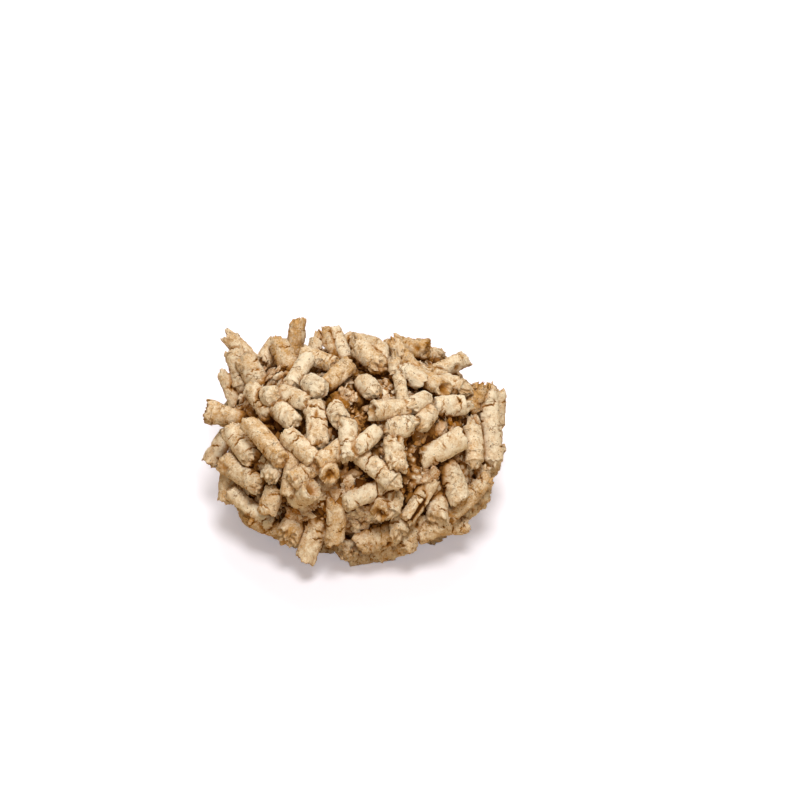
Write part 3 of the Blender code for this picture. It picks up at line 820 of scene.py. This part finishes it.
def math_of(tree, operation, first, second, clamp=False):
    """What a Math node makes of two values."""
    node = tree.nodes.new("ShaderNodeMath")
    node.operation = operation
    node.use_clamp = clamp
    feed(tree, node.inputs, (first, second))
    return node.outputs[0]


def blended(tree, share, first, second):
    """The first colour where share is 0, the second where it is 1."""
    node = tree.nodes.new("ShaderNodeMix")
    node.data_type = "RGBA"
    feed(tree, (node.inputs[0], node.inputs[6], node.inputs[7]), (share, first, second))
    return node.outputs[2]


def stepped(tree, value, low, high, to_low=0.0, to_high=1.0):
    """Turns low..high into to_low..to_high, smoothly."""
    node = add_node(
        tree,
        "ShaderNodeMapRange",
        {"interpolation_type": "SMOOTHSTEP"},
        From_Min=low,
        From_Max=high,
        To_Min=to_low,
        To_Max=to_high,
    )
    tree.links.new(value, node.inputs["Value"])
    return node.outputs[0]


def seen_by_eye(tree):
    """1 for what the camera sees, straight, mirrored or through glass, and 0 for what is lit."""
    path = tree.nodes.new("ShaderNodeLightPath")
    seen = math_of(tree, "MAXIMUM", path.outputs["Is Camera Ray"], path.outputs["Is Glossy Ray"])
    return math_of(tree, "MAXIMUM", seen, path.outputs["Is Transmission Ray"])


def new_group(name, inputs, outputs):
    """An empty node group, with what it is given and what it has to fill in."""
    group = bpy.data.node_groups.new(name, "ShaderNodeTree")
    for label, kind in inputs:
        group.interface.new_socket(label, in_out="INPUT", socket_type=kind)
    for label, kind in outputs:
        group.interface.new_socket(label, in_out="OUTPUT", socket_type=kind)
    entry = group.nodes.new("NodeGroupInput")
    leave = group.nodes.new("NodeGroupOutput")
    return group, entry.outputs, leave.inputs


def sawdust_group():
    """Pressed sawdust: mottled from pale to tan, flecked with dark brown, and with painted shade in
    every recess, first the damp colour, then the darkest brown.
    """
    group, given, result = new_group(
        "Pressed Sawdust",
        [
            ("Place", "NodeSocketVector"),
            ("Pale", "NodeSocketColor"),
            ("Tan", "NodeSocketColor"),
            ("Damp", "NodeSocketColor"),
            ("Bark", "NodeSocketColor"),
            ("Tone", "NodeSocketFloat"),
            ("Recess", "NodeSocketFloat"),
            ("Flecks", "NodeSocketFloat"),
        ],
        [
            ("Color", "NodeSocketColor"),
            ("Roughness", "NodeSocketFloat"),
            ("Height", "NodeSocketFloat"),
        ],
    )
    in_mm = add_node(group, "ShaderNodeVectorMath", {"operation": "SCALE"}, Scale=1000.0)
    group.links.new(given["Place"], in_mm.inputs[0])
    place = in_mm.outputs[0]
    clouds = add_node(group, "ShaderNodeTexNoise", Vector=place, Scale=CLOUDS_PER_MM, Detail=3.0)
    grains = add_node(
        group, "ShaderNodeTexNoise", Vector=place, Scale=GRAINS_PER_MM, Detail=4.0, Roughness=0.7
    )
    flecks = add_node(
        group, "ShaderNodeTexVoronoi", Vector=place, Scale=FLECKS_PER_MM, Randomness=1.0
    )
    where = add_node(
        group, "ShaderNodeTexNoise", Vector=place, Scale=FLECK_PATCHES_PER_MM, Detail=1.0
    )

    cloud = stepped(group, clouds.outputs["Fac"], 0.32, 0.68, *CLOUD_TONES)
    grain = stepped(group, grains.outputs["Fac"], 0.3, 0.7, *GRAIN_TONES)
    tone = math_of(group, "ADD", math_of(group, "ADD", given["Tone"], cloud), grain, clamp=True)
    colour = blended(group, tone, given["Pale"], given["Tan"])
    fleck = stepped(group, flecks.outputs["Distance"], 0.12, 0.26, 1.0, 0.0)
    fleck = math_of(group, "MULTIPLY", fleck, stepped(group, where.outputs["Fac"], 0.42, 0.6))
    fleck = math_of(group, "MULTIPLY", fleck, given["Flecks"], clamp=True)
    colour = blended(group, fleck, colour, given["Bark"])
    # Painted shade: the recess turns the wood to the damp colour, then to the darkest brown.
    damp_and_shade = stepped(group, given["Recess"], *SHADE_RECESS, 0.0, MOST_SHADE)
    colour = blended(group, damp_and_shade, colour, given["Damp"])
    dark = stepped(group, given["Recess"], *DARK_RECESS, 0.0, MOST_DARK)
    colour = blended(group, dark, colour, given["Bark"])
    group.links.new(colour, result["Color"])
    rough = stepped(group, grains.outputs["Fac"], 0.3, 0.7, 0.78, 0.95)
    group.links.new(rough, result["Roughness"])
    sunk = math_of(group, "MULTIPLY", fleck, FLECK_DEPTH)
    height = math_of(group, "ADD", grains.outputs["Fac"], sunk)
    group.links.new(height, result["Height"])
    return group


def crazing_group():
    """Hairline cracks, mostly across the stick."""
    group, given, result = new_group(
        "Hairline Cracks",
        [("Place", "NodeSocketVector"), ("Amount", "NodeSocketFloat")],
        [("Mask", "NodeSocketFloat")],
    )
    stretched = add_node(group, "ShaderNodeMapping", Scale=HAIRLINE_CELLS)
    group.links.new(given["Place"], stretched.inputs["Vector"])
    warp = add_node(group, "ShaderNodeTexNoise", Vector=stretched.outputs[0], Scale=1.3, Detail=3.0)
    bent = add_node(group, "ShaderNodeVectorMath", {"operation": "MULTIPLY_ADD"})
    group.links.new(warp.outputs["Color"], bent.inputs[0])
    bent.inputs[1].default_value = HAIRLINE_BEND
    group.links.new(stretched.outputs[0], bent.inputs[2])
    cells = add_node(
        group,
        "ShaderNodeTexVoronoi",
        {"feature": "DISTANCE_TO_EDGE"},
        Vector=bent.outputs[0],
        Scale=1.0,
    )
    where = add_node(group, "ShaderNodeTexNoise", Vector=stretched.outputs[0], Scale=0.55, Detail=1.0)
    line = stepped(group, cells.outputs["Distance"], 0.012, 0.055, 1.0, 0.0)
    line = math_of(group, "MULTIPLY", line, stepped(group, where.outputs["Fac"], 0.54, 0.66))
    line = math_of(group, "MULTIPLY", line, given["Amount"], clamp=True)
    group.links.new(line, result["Mask"])
    return group


def shared_group(name, make):
    return bpy.data.node_groups.get(name) or make()


def wood_material(name, place, tones, flecks, bump, cracks=0.0):
    """Pressed sawdust on a piece, by an attribute that holds places or by Object coordinates."""
    material = bpy.data.materials.get(name)
    if material:
        return material
    material = bpy.data.materials.new(name)
    material.use_nodes = True
    tree = material.node_tree
    shader = tree.nodes["Principled BSDF"]
    shader.inputs["Metallic"].default_value = 0.0
    shader.inputs["Specular IOR Level"].default_value = WOOD_GLOSS
    if place:
        where = add_node(tree, "ShaderNodeAttribute", {"attribute_name": place}).outputs["Vector"]
    else:
        where = add_node(tree, "ShaderNodeTexCoord").outputs["Object"]
    # recess: painted shade in cracks, creases and between the pellets.
    recess = add_node(tree, "ShaderNodeAttribute", {"attribute_name": "recess"}).outputs["Fac"]
    sawdust = tree.nodes.new("ShaderNodeGroup")
    sawdust.node_tree = shared_group("Pressed Sawdust", sawdust_group)
    for label, colour in zip(("Pale", "Tan", "Damp", "Bark"), tones):
        sawdust.inputs[label].default_value = (*colour, 1.0)
    sawdust.inputs["Flecks"].default_value = flecks
    tree.links.new(where, sawdust.inputs["Place"])
    own_tone = add_node(tree, "ShaderNodeAttribute", {"attribute_name": "tone"}).outputs["Fac"]
    tree.links.new(own_tone, sawdust.inputs["Tone"])
    height = sawdust.outputs["Height"]
    if cracks:
        crazing = tree.nodes.new("ShaderNodeGroup")
        crazing.node_tree = shared_group("Hairline Cracks", crazing_group)
        crazing.inputs["Amount"].default_value = cracks
        tree.links.new(where, crazing.inputs["Place"])
        line = crazing.outputs["Mask"]
        # A hairline's line is painted shade, added to the recess, and a dent in the bump.
        recess = math_of(tree, "MAXIMUM", recess, math_of(tree, "MULTIPLY", line, HAIRLINE_SHADE))
        height = math_of(tree, "SUBTRACT", height, math_of(tree, "MULTIPLY", line, HAIRLINE_DEPTH))
    tree.links.new(recess, sawdust.inputs["Recess"])
    tree.links.new(sawdust.outputs["Color"], shader.inputs["Base Color"])
    tree.links.new(sawdust.outputs["Roughness"], shader.inputs["Roughness"])
    relief = add_node(tree, "ShaderNodeBump", Strength=BUMP_STRENGTH, Distance=bump, Height=height)
    tree.links.new(relief.outputs["Normal"], shader.inputs["Normal"])
    return material


def wood_tones(colours, crumbled=False):
    """The four colours of a material: crumbled wood goes straight from pale to damp."""
    middle = colours.damp_and_shade if crumbled else colours.tan
    return [tuple(colour) for colour in (colours.pale, middle, colours.damp_and_shade, colours.bark_and_shade)]


def dress(obj, material):
    obj.data.materials.append(material)
    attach(obj, "root")


# Settings that a user would change


class WoodColours(bpy.types.PropertyGroup):
    """The wood's colours, from dry and pale to damp and dark; the damp and the darkest colours also
    paint the shade in recesses.
    """

    pale: FloatVectorProperty(
        name="Pale", description="Dry sawdust", subtype="COLOR", default=(0.96, 0.83, 0.63)
    )
    tan: FloatVectorProperty(
        name="Tan", description="Toasted sawdust", subtype="COLOR", default=(0.62, 0.35, 0.125)
    )
    # Bark flecks, and also the darkest painted shade in recesses.
    bark_and_shade: FloatVectorProperty(
        name="Bark",
        description="Bark flecks and recesses",
        subtype="COLOR",
        default=(0.060, 0.015, 0.001),
    )
    # Crumbled damp wood, and also the painted shade in recesses.
    damp_and_shade: FloatVectorProperty(
        name="Damp", description="Crumbled damp wood", subtype="COLOR", default=(0.42, 0.168, 0.016)
    )
    flecks: FloatProperty(
        name="Flecks", description="How strongly bark flecks show", default=0.65, min=0.0, max=1.0
    )


class PelletWear(bpy.types.PropertyGroup):
    """The wear of the pellets."""

    sides: IntProperty(name="Sides", description="Faces round a whole pellet", default=48, min=12)
    ring_step: FloatProperty(
        name="Ring Step", description="Room between rings", default=0.34 * MM, unit="LENGTH"
    )
    cap_rings: IntProperty(name="Cap Rings", description="Rings of faces on an end", default=6, min=2)
    cracks_per_pellet: FloatProperty(
        name="Cracks", description="Cracks across a long pellet", default=5.0, min=0.0
    )
    crack_depth: FloatProperty(
        name="Crack Depth", description="How deep a crack cuts", default=0.5 * MM, unit="LENGTH"
    )
    swell_height: FloatProperty(
        name="Swells", description="Height of the wide swells", default=0.2 * MM, unit="LENGTH"
    )
    lump_height: FloatProperty(
        name="Lumps", description="Height of the small lumps", default=0.25 * MM, unit="LENGTH"
    )
    grain_height: FloatProperty(
        name="Grains", description="Height of the grains", default=0.17 * MM, unit="LENGTH"
    )
    wrinkle_depth: FloatProperty(
        name="Wrinkles", description="Depth of the skin's wrinkles", default=0.26 * MM, unit="LENGTH"
    )
    bite_depth: FloatProperty(
        name="Bites", description="Depth of crumbled patches", default=1.1 * MM, unit="LENGTH"
    )
    torn_height: FloatProperty(
        name="Torn Ends", description="Height of the torn end fibres", default=1.1 * MM, unit="LENGTH"
    )


class MashForm(bpy.types.PropertyGroup):
    """The crumbled wood between the pellets."""

    fineness: IntProperty(
        name="Fineness", description="Subdivisions of the mash's skin", default=7, min=4, max=7
    )
    crumb_size: FloatProperty(
        name="Crumb Size", description="Width of the mash's crumbs", default=2.8 * MM, unit="LENGTH"
    )
    crumb_height: FloatProperty(
        name="Crumb Height", description="Height of the mash's crumbs", default=1.9 * MM, unit="LENGTH"
    )
    toasted_share: FloatProperty(
        name="Toasted Share", description="Share of crumbs at the toasted spots", default=0.3
    )
    crumbs: IntProperty(name="Crumbs", description="Loose crumbs", default=1300, min=0)
    grains: IntProperty(name="Grains", description="Loose grains", default=6400, min=0)
    fibres: IntProperty(name="Fibres", description="Loose fibres and splinters", default=260, min=0)


class StageLight(bpy.types.PropertyGroup):
    """The plain studio round the clump."""

    key: FloatProperty(name="Key", description="Power of the lamp above, in watts", default=7.0)
    front: FloatProperty(name="Front", description="Power of the front lamp, in watts", default=2.7)
    back: FloatProperty(name="Back", description="Power of the lamp behind, in watts", default=5.3)
    fill: FloatProperty(name="Fill", description="Strength of the light all round", default=0.18)
    lens: FloatProperty(name="Lens", description="Focal length in millimetres", default=200.0)
    mm_per_pixel: FloatProperty(
        name="Scale", description="Millimetres to a pixel at the clump", default=0.35
    )


# Pieces


class LITTER_OT_whole_pellets(bpy.types.Operator):
    """Build every whole pellet, with its cracks, worn rims and torn or hollow ends."""

    bl_idname = "litter.whole_pellets"
    bl_label = "Whole Pellets"

    def execute(self, context):
        wear = context.scene.litter_wear
        colours = context.scene.litter_colours
        material = wood_material(
            "pressed_pellet", "stick_place", wood_tones(colours), colours.flecks, 0.5 * MM, cracks=0.6
        )
        for pellet in WHOLE:
            bm = weathered_pellet(
                pellet, Wear(pellet, wear), wear.sides, wear.ring_step, wear.cap_rings
            )
            obj = finished_object(f"weathered_{pellet.name}", bm)
            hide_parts(pellet.name)
            dress(obj, material)
        return {"FINISHED"}


class LITTER_OT_soaked_pellets(bpy.types.Operator):
    """Build the soaked pellets that have grown into the mash, back to front."""

    bl_idname = "litter.soaked_pellets"
    bl_label = "Soaked Pellets"

    SIDES = 36
    RING_STEP = 0.42 * MM
    CAP_RINGS = 5
    CRUMBLE = 1.8
    GROWN_IN_CRUMBLE = 1.3

    def execute(self, context):
        wear = context.scene.litter_wear
        colours = context.scene.litter_colours
        material = wood_material(
            "soaked_pellet", "stick_place", wood_tones(colours), colours.flecks, 0.6 * MM, cracks=0.7
        )
        pellets = sorted(SOAKED + GROWN_IN, key=lambda pellet: pellet.middle.y)
        half = len(pellets) // 2
        for name, group in (("front", pellets[:half]), ("back", pellets[half:])):
            joined = bmesh.new()
            pellet_layers(joined)
            for pellet in group:
                crumble = self.GROWN_IN_CRUMBLE if pellet in GROWN_IN else self.CRUMBLE
                worn = Wear(pellet, wear, crumble)
                gather(
                    joined,
                    weathered_pellet(pellet, worn, self.SIDES, self.RING_STEP, self.CAP_RINGS),
                )
            obj = finished_object(f"soaked_pellets_{name}", joined)
            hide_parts("soaked_core")
            dress(obj, material)
        return {"FINISHED"}


def spread_over(spots, direction):
    """1 in the middle of the nearest spot, fading to 0 round it."""
    most = 0.0
    for middle, size in spots:
        away = middle.angle(direction) * CLUMP_WIDTH / 2 / size
        most = max(most, math.exp(-away * away))
    return most


PIT_SPOTS = placed_spots(PITS)
TOASTED_SPOTS = placed_spots(TOASTED)

# Dips are noise times this, and no deeper than this share of a pit.
DIP_GAIN = 1.3
DEEPEST_DIP = 0.8

# A clod's skin turns down this far from its middle, and the small bits on it are this much
# smaller and lower.
CLOD_REACH = 0.45
BIT_WIDTH_SHARE = 0.45
BIT_HEIGHT_SHARE = 0.5
MASH_GRAIN_WIDTH = 0.9 * MM
MASH_GRAIN_HEIGHT = 0.25 * MM

# The mash's recess, its painted shade: on the level, and what clods and bits take off it and dips add
# to it.
LEVEL_RECESS = 0.20
CLOD_RECESS = 1.2
BIT_RECESS = 0.9
DIP_RECESS = 1.1

# The mash's tone, how much it varies, and what a toasted spot adds to it and to crumbs.
MASH_TONE = 0.35
MASH_TONE_SPREAD = 0.4
TOASTED_TONE = 0.4


def dip_of_mash(direction):
    """How deep the mash dips there, from 0 to 1."""
    dip = DIP_GAIN * max(noise.noise(on_envelope(direction, MASH_INSET) / DIP_SPACING), 0.0)
    return max(min(dip, DEEPEST_DIP), spread_over(PIT_SPOTS, direction))


def mash_point(direction, form):
    """A point of the mash's skin and its recess, the painted shade: clods with creases between them,
    darker in creases and dips.
    """
    point = on_envelope(direction, MASH_INSET)
    lump = noise.noise(point / MASH_LUMP_SPACING) * MASH_LUMP
    lump += noise.noise(point / CLOD_SPACING) * CLOD_HEIGHT
    clods, _ = noise.voronoi(point / form.crumb_size)
    bits, _ = noise.voronoi(point / (form.crumb_size * BIT_WIDTH_SHARE))
    clod = CLOD_REACH - clods[0]
    bit = CLOD_REACH - bits[0]
    grain = noise.noise(point / MASH_GRAIN_WIDTH)
    rise = clod * form.crumb_height + bit * form.crumb_height * BIT_HEIGHT_SHARE
    rise += grain * MASH_GRAIN_HEIGHT
    dip = dip_of_mash(direction)
    placed = MIDDLE + point + direction * (lump + rise - dip * DIP_DEPTH)
    placed.z = max(placed.z, 0.0)
    recess = LEVEL_RECESS - clod * CLOD_RECESS - bit * BIT_RECESS + dip * DIP_RECESS
    return placed, min(max(recess, 0.0), 1.0)


class LITTER_OT_mash(bpy.types.Operator):
    """Build the lump of crumbled damp wood that holds the pellets together."""

    bl_idname = "litter.mash"
    bl_label = "Mash"

    def execute(self, context):
        form = context.scene.litter_mash
        colours = context.scene.litter_colours
        bm = bmesh.new()
        tone_layer, recess_layer = wood_layers(bm)
        bmesh.ops.create_icosphere(bm, subdivisions=form.fineness, radius=1.0)
        for vert in bm.verts:
            direction = vert.co.normalized()
            vert.co, recess = mash_point(direction, form)
            # Painted shade where pellets lie close to the mash.
            recess += MASH_SHADE * CREVICES.closeness(vert.co)
            vert[recess_layer] = min(recess, 1.0)
            toasted = TOASTED_TONE * spread_over(TOASTED_SPOTS, direction)
            varied = MASH_TONE_SPREAD * noise.noise(direction * 5.0)
            vert[tone_layer] = MASH_TONE + varied + toasted
        obj = finished_object("crumbled_mash", bm)
        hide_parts("soaked_core")
        tones = wood_tones(colours, crumbled=True)
        dress(obj, wood_material("damp_mash", None, tones, 0.5, 0.6 * MM))
        return {"FINISHED"}


def crumb_places(count, rng, form):
    """Places over the mash, most often at its toasted spots, with the direction that faces out."""
    for _ in range(count):
        direction = Vector((rng.gauss(0, 1), rng.gauss(0, 1), rng.gauss(0, 1)))
        if rng.random() < form.toasted_share:
            middle, size = rng.choice(TOASTED_SPOTS)
            direction = middle + direction * size * 0.7
        direction.normalize()
        place, _ = mash_point(direction, form)
        yield place, direction


class LITTER_OT_crumbs(bpy.types.Operator):
    """Scatter crumbs, flakes and grains over the mash."""

    bl_idname = "litter.crumbs"
    bl_label = "Crumbs"

    # How many crumbs are made before they join the rest, which keeps the work quick.
    BATCH = 150

    # A crumb's stretch, flatness and lift, as shares of its size, and its tone.
    STRETCHES = (0.5, 1.5)
    FLATNESS = (0.25, 0.7)
    LIFTS = (-0.3, 1.1)
    TONES = (0.0, 0.55)

    # Dents, as shares of the crumb, and the painted shade (recess) of a dip and of a crumb's underside.
    DENT_WIDTH = 0.7
    DENT_DEPTH = 0.9
    DIP_SHADE = 0.9
    UNDERSIDE_SHADE = 0.8

    def execute(self, context):
        form = context.scene.litter_mash
        colours = context.scene.litter_colours
        material = wood_material("crumb", None, wood_tones(colours, crumbled=True), 0.3, 0.4 * MM)
        for name, count, fineness, sizes, seed in (
            ("crumbs", form.crumbs, 2, (0.8 * MM, 2.2 * MM), 11),
            ("grains", form.grains, 1, (0.35 * MM, 0.9 * MM), 12),
        ):
            joined = self.scatter(name, count, fineness, sizes, random.Random(seed), form)
            obj = finished_object(name, joined)
            obj.data.shade_flat()
            dress(obj, material)
        return {"FINISHED"}

    def scatter(self, name, count, fineness, sizes, rng, form):
        joined = bmesh.new()
        wood_layers(joined)
        places = list(crumb_places(count, rng, form))
        for start in range(0, count, self.BATCH):
            batch = bmesh.new()
            tone_layer, recess_layer = wood_layers(batch)
            for place, direction in places[start : start + self.BATCH]:
                size = rng.uniform(*sizes)
                spread = [size * rng.uniform(*self.STRETCHES) for _ in range(3)]
                spread[2] *= rng.uniform(*self.FLATNESS)
                turn = Matrix.Rotation(rng.uniform(0, math.tau), 4, direction)
                lifted = place + direction * rng.uniform(*self.LIFTS) * size
                lifted.z = max(lifted.z, size)
                placement = Matrix.Translation(lifted) @ turn @ turn_to(direction)
                matrix = placement @ Matrix.Diagonal((*spread, 1.0))
                made = bmesh.ops.create_icosphere(
                    batch, subdivisions=fineness, radius=1.0, matrix=matrix
                )
                tone = rng.uniform(*self.TONES)
                tone += TOASTED_TONE * spread_over(TOASTED_SPOTS, direction)
                # Painted shade: near pellets, in dips and under each crumb.
                shade = MASH_SHADE * CREVICES.closeness(lifted)
                shade += self.DIP_SHADE * dip_of_mash(direction)
                for vert in made["verts"]:
                    away = vert.co - lifted
                    dent = noise.noise(vert.co / (self.DENT_WIDTH * size))
                    under = 0.5 - 0.5 * away.normalized().dot(direction)
                    vert.co = lifted + away * (1 + self.DENT_DEPTH * dent)
                    vert.co.z = max(vert.co.z, 0.0)
                    vert[tone_layer] = tone
                    vert[recess_layer] = min(shade + self.UNDERSIDE_SHADE * under * under, 1.0)
            gather(joined, batch)
        return joined


class LITTER_OT_fibres(bpy.types.Operator):
    """Scatter fibres and splinters that stick out of the mash."""

    bl_idname = "litter.fibres"
    bl_label = "Fibres"

    SEED = 13
    SIDES = 5
    BENDS = 3

    # Lengths and girths are in millimetres; the tip is a share of the girth.
    LENGTHS = (1.8, 5.0)
    GIRTHS = (0.14, 0.32)
    TIP_SHARE = 0.3
    LEANS = (0.2, 0.9)
    TONES = (0.0, 0.6)

    # How far a fibre's middle stands out of its place, as a share of its length.
    OUT_SHARE = 0.35

    def execute(self, context):
        form = context.scene.litter_mash
        colours = context.scene.litter_colours
        rng = random.Random(self.SEED)
        joined = bmesh.new()
        wood_layers(joined)
        for place, direction in crumb_places(form.fibres, rng, form):
            gather(joined, self.fibre(place, direction, rng))
        tones = wood_tones(colours, crumbled=True)
        obj = finished_object("fibres", joined)
        dress(obj, wood_material("fibre", None, tones, 0.2, 0.2 * MM))
        return {"FINISHED"}

    def fibre(self, place, direction, rng):
        """A thin bent splinter that tapers to its tip."""
        bm = bmesh.new()
        tone_layer, _ = wood_layers(bm)
        length = rng.uniform(*self.LENGTHS) * MM
        girth = rng.uniform(*self.GIRTHS) * MM
        tip = girth * self.TIP_SHARE
        bmesh.ops.create_cone(
            bm, cap_ends=True, segments=self.SIDES, radius1=girth, radius2=tip, depth=length
        )
        rising = [e for e in bm.edges if abs(e.verts[0].co.z - e.verts[1].co.z) > length / 2]
        bmesh.ops.subdivide_edges(bm, edges=rising, cuts=self.BENDS)
        side = direction.orthogonal().normalized()
        side.rotate(Matrix.Rotation(rng.uniform(0, math.tau), 3, direction))
        axis = (side + direction * rng.uniform(*self.LEANS)).normalized()
        bend = rng.uniform(-0.5, 0.5)
        tone = rng.uniform(*self.TONES)
        placement = Matrix.Translation(place + axis * length * self.OUT_SHARE) @ turn_to(axis)
        for vert in bm.verts:
            share = vert.co.z / length
            vert.co.x += bend * length * share * share
            vert.co = placement @ vert.co
            vert.co.z = max(vert.co.z, 0.0)
            vert[tone_layer] = tone
        return bm


class LITTER_OT_stage(bpy.types.Operator):
    """Set the pale floor, the soft light from above and the camera of the front view."""

    bl_idname = "litter.stage"
    bl_label = "Stage"

    # The floor as it is seen, its own soft glow, and the colour it throws back on the clump.
    FLOOR_SIZE = 6.0
    FLOOR_COLOUR = (0.88, 0.86, 0.93, 1.0)
    FLOOR_GLOW = 0.30
    GLOW_COLOUR = (0.93, 0.91, 1.0, 1.0)
    FLOOR_BOUNCE = (0.55, 0.40, 0.22, 1.0)

    # The background as it is seen, and the colour of the light all round.
    BACKGROUND = (1.0, 1.0, 1.0, 1.0)
    FILL_COLOUR = (1.0, 0.76, 0.42, 1.0)

    # The lamps: place, width and colour.  Their power is in the settings.
    LAMPS = {
        "key": ((0.05, -0.34, 1.00), 0.36, (1.0, 0.99, 0.97)),
        "front": ((0.20, -1.00, 0.62), 0.90, (1.0, 0.95, 0.85)),
        "back": ((0.05, 0.62, 1.00), 0.70, (1.0, 0.98, 0.94)),
    }

    # Where the clump's middle is in the view, and how wide the view is.
    MIDDLE_PIXEL = (358.4, 445.0)
    IMAGE_PIXELS = 800

    def execute(self, context):
        settings = context.scene.litter_stage
        self.add_floor()
        self.add_world(settings)
        for name, (place, size, colour) in self.LAMPS.items():
            self.add_lamp(name, place, size, getattr(settings, name), colour)
        self.add_camera(settings)
        context.scene.view_settings.view_transform = "Standard"
        return {"FINISHED"}

    def add_floor(self):
        bm = bmesh.new()
        bmesh.ops.create_grid(bm, x_segments=1, y_segments=1, size=self.FLOOR_SIZE / 2)
        floor = finished_object("floor", bm)
        material = bpy.data.materials.new("floor")
        material.use_nodes = True
        tree = material.node_tree
        shader = tree.nodes["Principled BSDF"]
        shader.inputs["Roughness"].default_value = 0.9
        shader.inputs["Specular IOR Level"].default_value = 0.1
        shader.inputs["Emission Color"].default_value = self.GLOW_COLOUR
        seen = seen_by_eye(tree)
        colour = blended(tree, seen, self.FLOOR_BOUNCE, self.FLOOR_COLOUR)
        tree.links.new(colour, shader.inputs["Base Color"])
        glow = math_of(tree, "MULTIPLY", seen, self.FLOOR_GLOW)
        tree.links.new(glow, shader.inputs["Emission Strength"])
        floor.data.materials.append(material)

    def add_world(self, settings):
        world = bpy.data.worlds.new("studio")
        world.use_nodes = True
        tree = world.node_tree
        shade = tree.nodes["Background"]
        seen = seen_by_eye(tree)
        colour = blended(tree, seen, self.FILL_COLOUR, self.BACKGROUND)
        tree.links.new(colour, shade.inputs["Color"])
        strength = math_of(tree, "MAXIMUM", seen, settings.fill)
        tree.links.new(strength, shade.inputs["Strength"])
        bpy.context.scene.world = world

    def add_lamp(self, name, place, size, power, colour):
        data = bpy.data.lights.new(name, "AREA")
        data.shape = "DISK"
        data.size = size
        data.energy = power
        data.color = colour
        lamp = bpy.data.objects.new(name, data)
        lamp.location = place
        towards = MIDDLE - Vector(place)
        lamp.rotation_euler = towards.to_track_quat("-Z", "Y").to_euler()
        bpy.context.scene.collection.objects.link(lamp)

    def add_camera(self, settings):
        data = bpy.data.cameras.new("camera")
        data.lens = settings.lens
        camera = bpy.data.objects.new("camera", data)
        pixel = settings.mm_per_pixel * MM
        across = (self.IMAGE_PIXELS / 2 - self.MIDDLE_PIXEL[0]) * pixel
        up = (self.MIDDLE_PIXEL[1] - self.IMAGE_PIXELS / 2) * pixel
        aim = MIDDLE + RIGHTWARD * across + UPWARD * up
        distance = data.lens / data.sensor_width * self.IMAGE_PIXELS * pixel
        camera.location = aim + EYEWARD * distance
        camera.rotation_euler = (math.pi / 2 - SIGHT, 0.0, 0.0)
        data.clip_end = 20.0
        bpy.context.scene.collection.objects.link(camera)
        bpy.context.scene.camera = camera


class LITTER_PT_panel(bpy.types.Panel):
    """The clump's pieces and settings, in the sidebar."""

    bl_label = "Litter Clump"
    bl_space_type = "VIEW_3D"
    bl_region_type = "UI"
    bl_category = "Litter"

    def draw(self, context):
        layout = self.layout
        for operator in PIECES:
            layout.operator(operator.bl_idname)
        for owner in ("litter_colours", "litter_wear", "litter_mash", "litter_stage"):
            group = getattr(context.scene, owner)
            for key in group.bl_rna.properties.keys():
                if key not in {"rna_type", "name"}:
                    layout.prop(group, key)


PIECES = (
    LITTER_OT_stage,
    LITTER_OT_whole_pellets,
    LITTER_OT_soaked_pellets,
    LITTER_OT_mash,
    LITTER_OT_crumbs,
    LITTER_OT_fibres,
)
SETTINGS = {
    "litter_colours": WoodColours,
    "litter_wear": PelletWear,
    "litter_mash": MashForm,
    "litter_stage": StageLight,
}


def register():
    for name, group in SETTINGS.items():
        bpy.utils.register_class(group)
        setattr(bpy.types.Scene, name, PointerProperty(type=group))
    for cls in (*PIECES, LITTER_PT_panel):
        bpy.utils.register_class(cls)


def unregister():
    for cls in (LITTER_PT_panel, *reversed(PIECES)):
        bpy.utils.unregister_class(cls)
    for name, group in SETTINGS.items():
        delattr(bpy.types.Scene, name)
        bpy.utils.unregister_class(group)


def main():
    register()
    bpy.ops.litter.stage()
    bpy.ops.litter.whole_pellets()
    bpy.ops.litter.soaked_pellets()
    bpy.ops.litter.mash()
    bpy.ops.litter.crumbs()
    bpy.ops.litter.fibres()


if __name__ == "__main__":
    main()
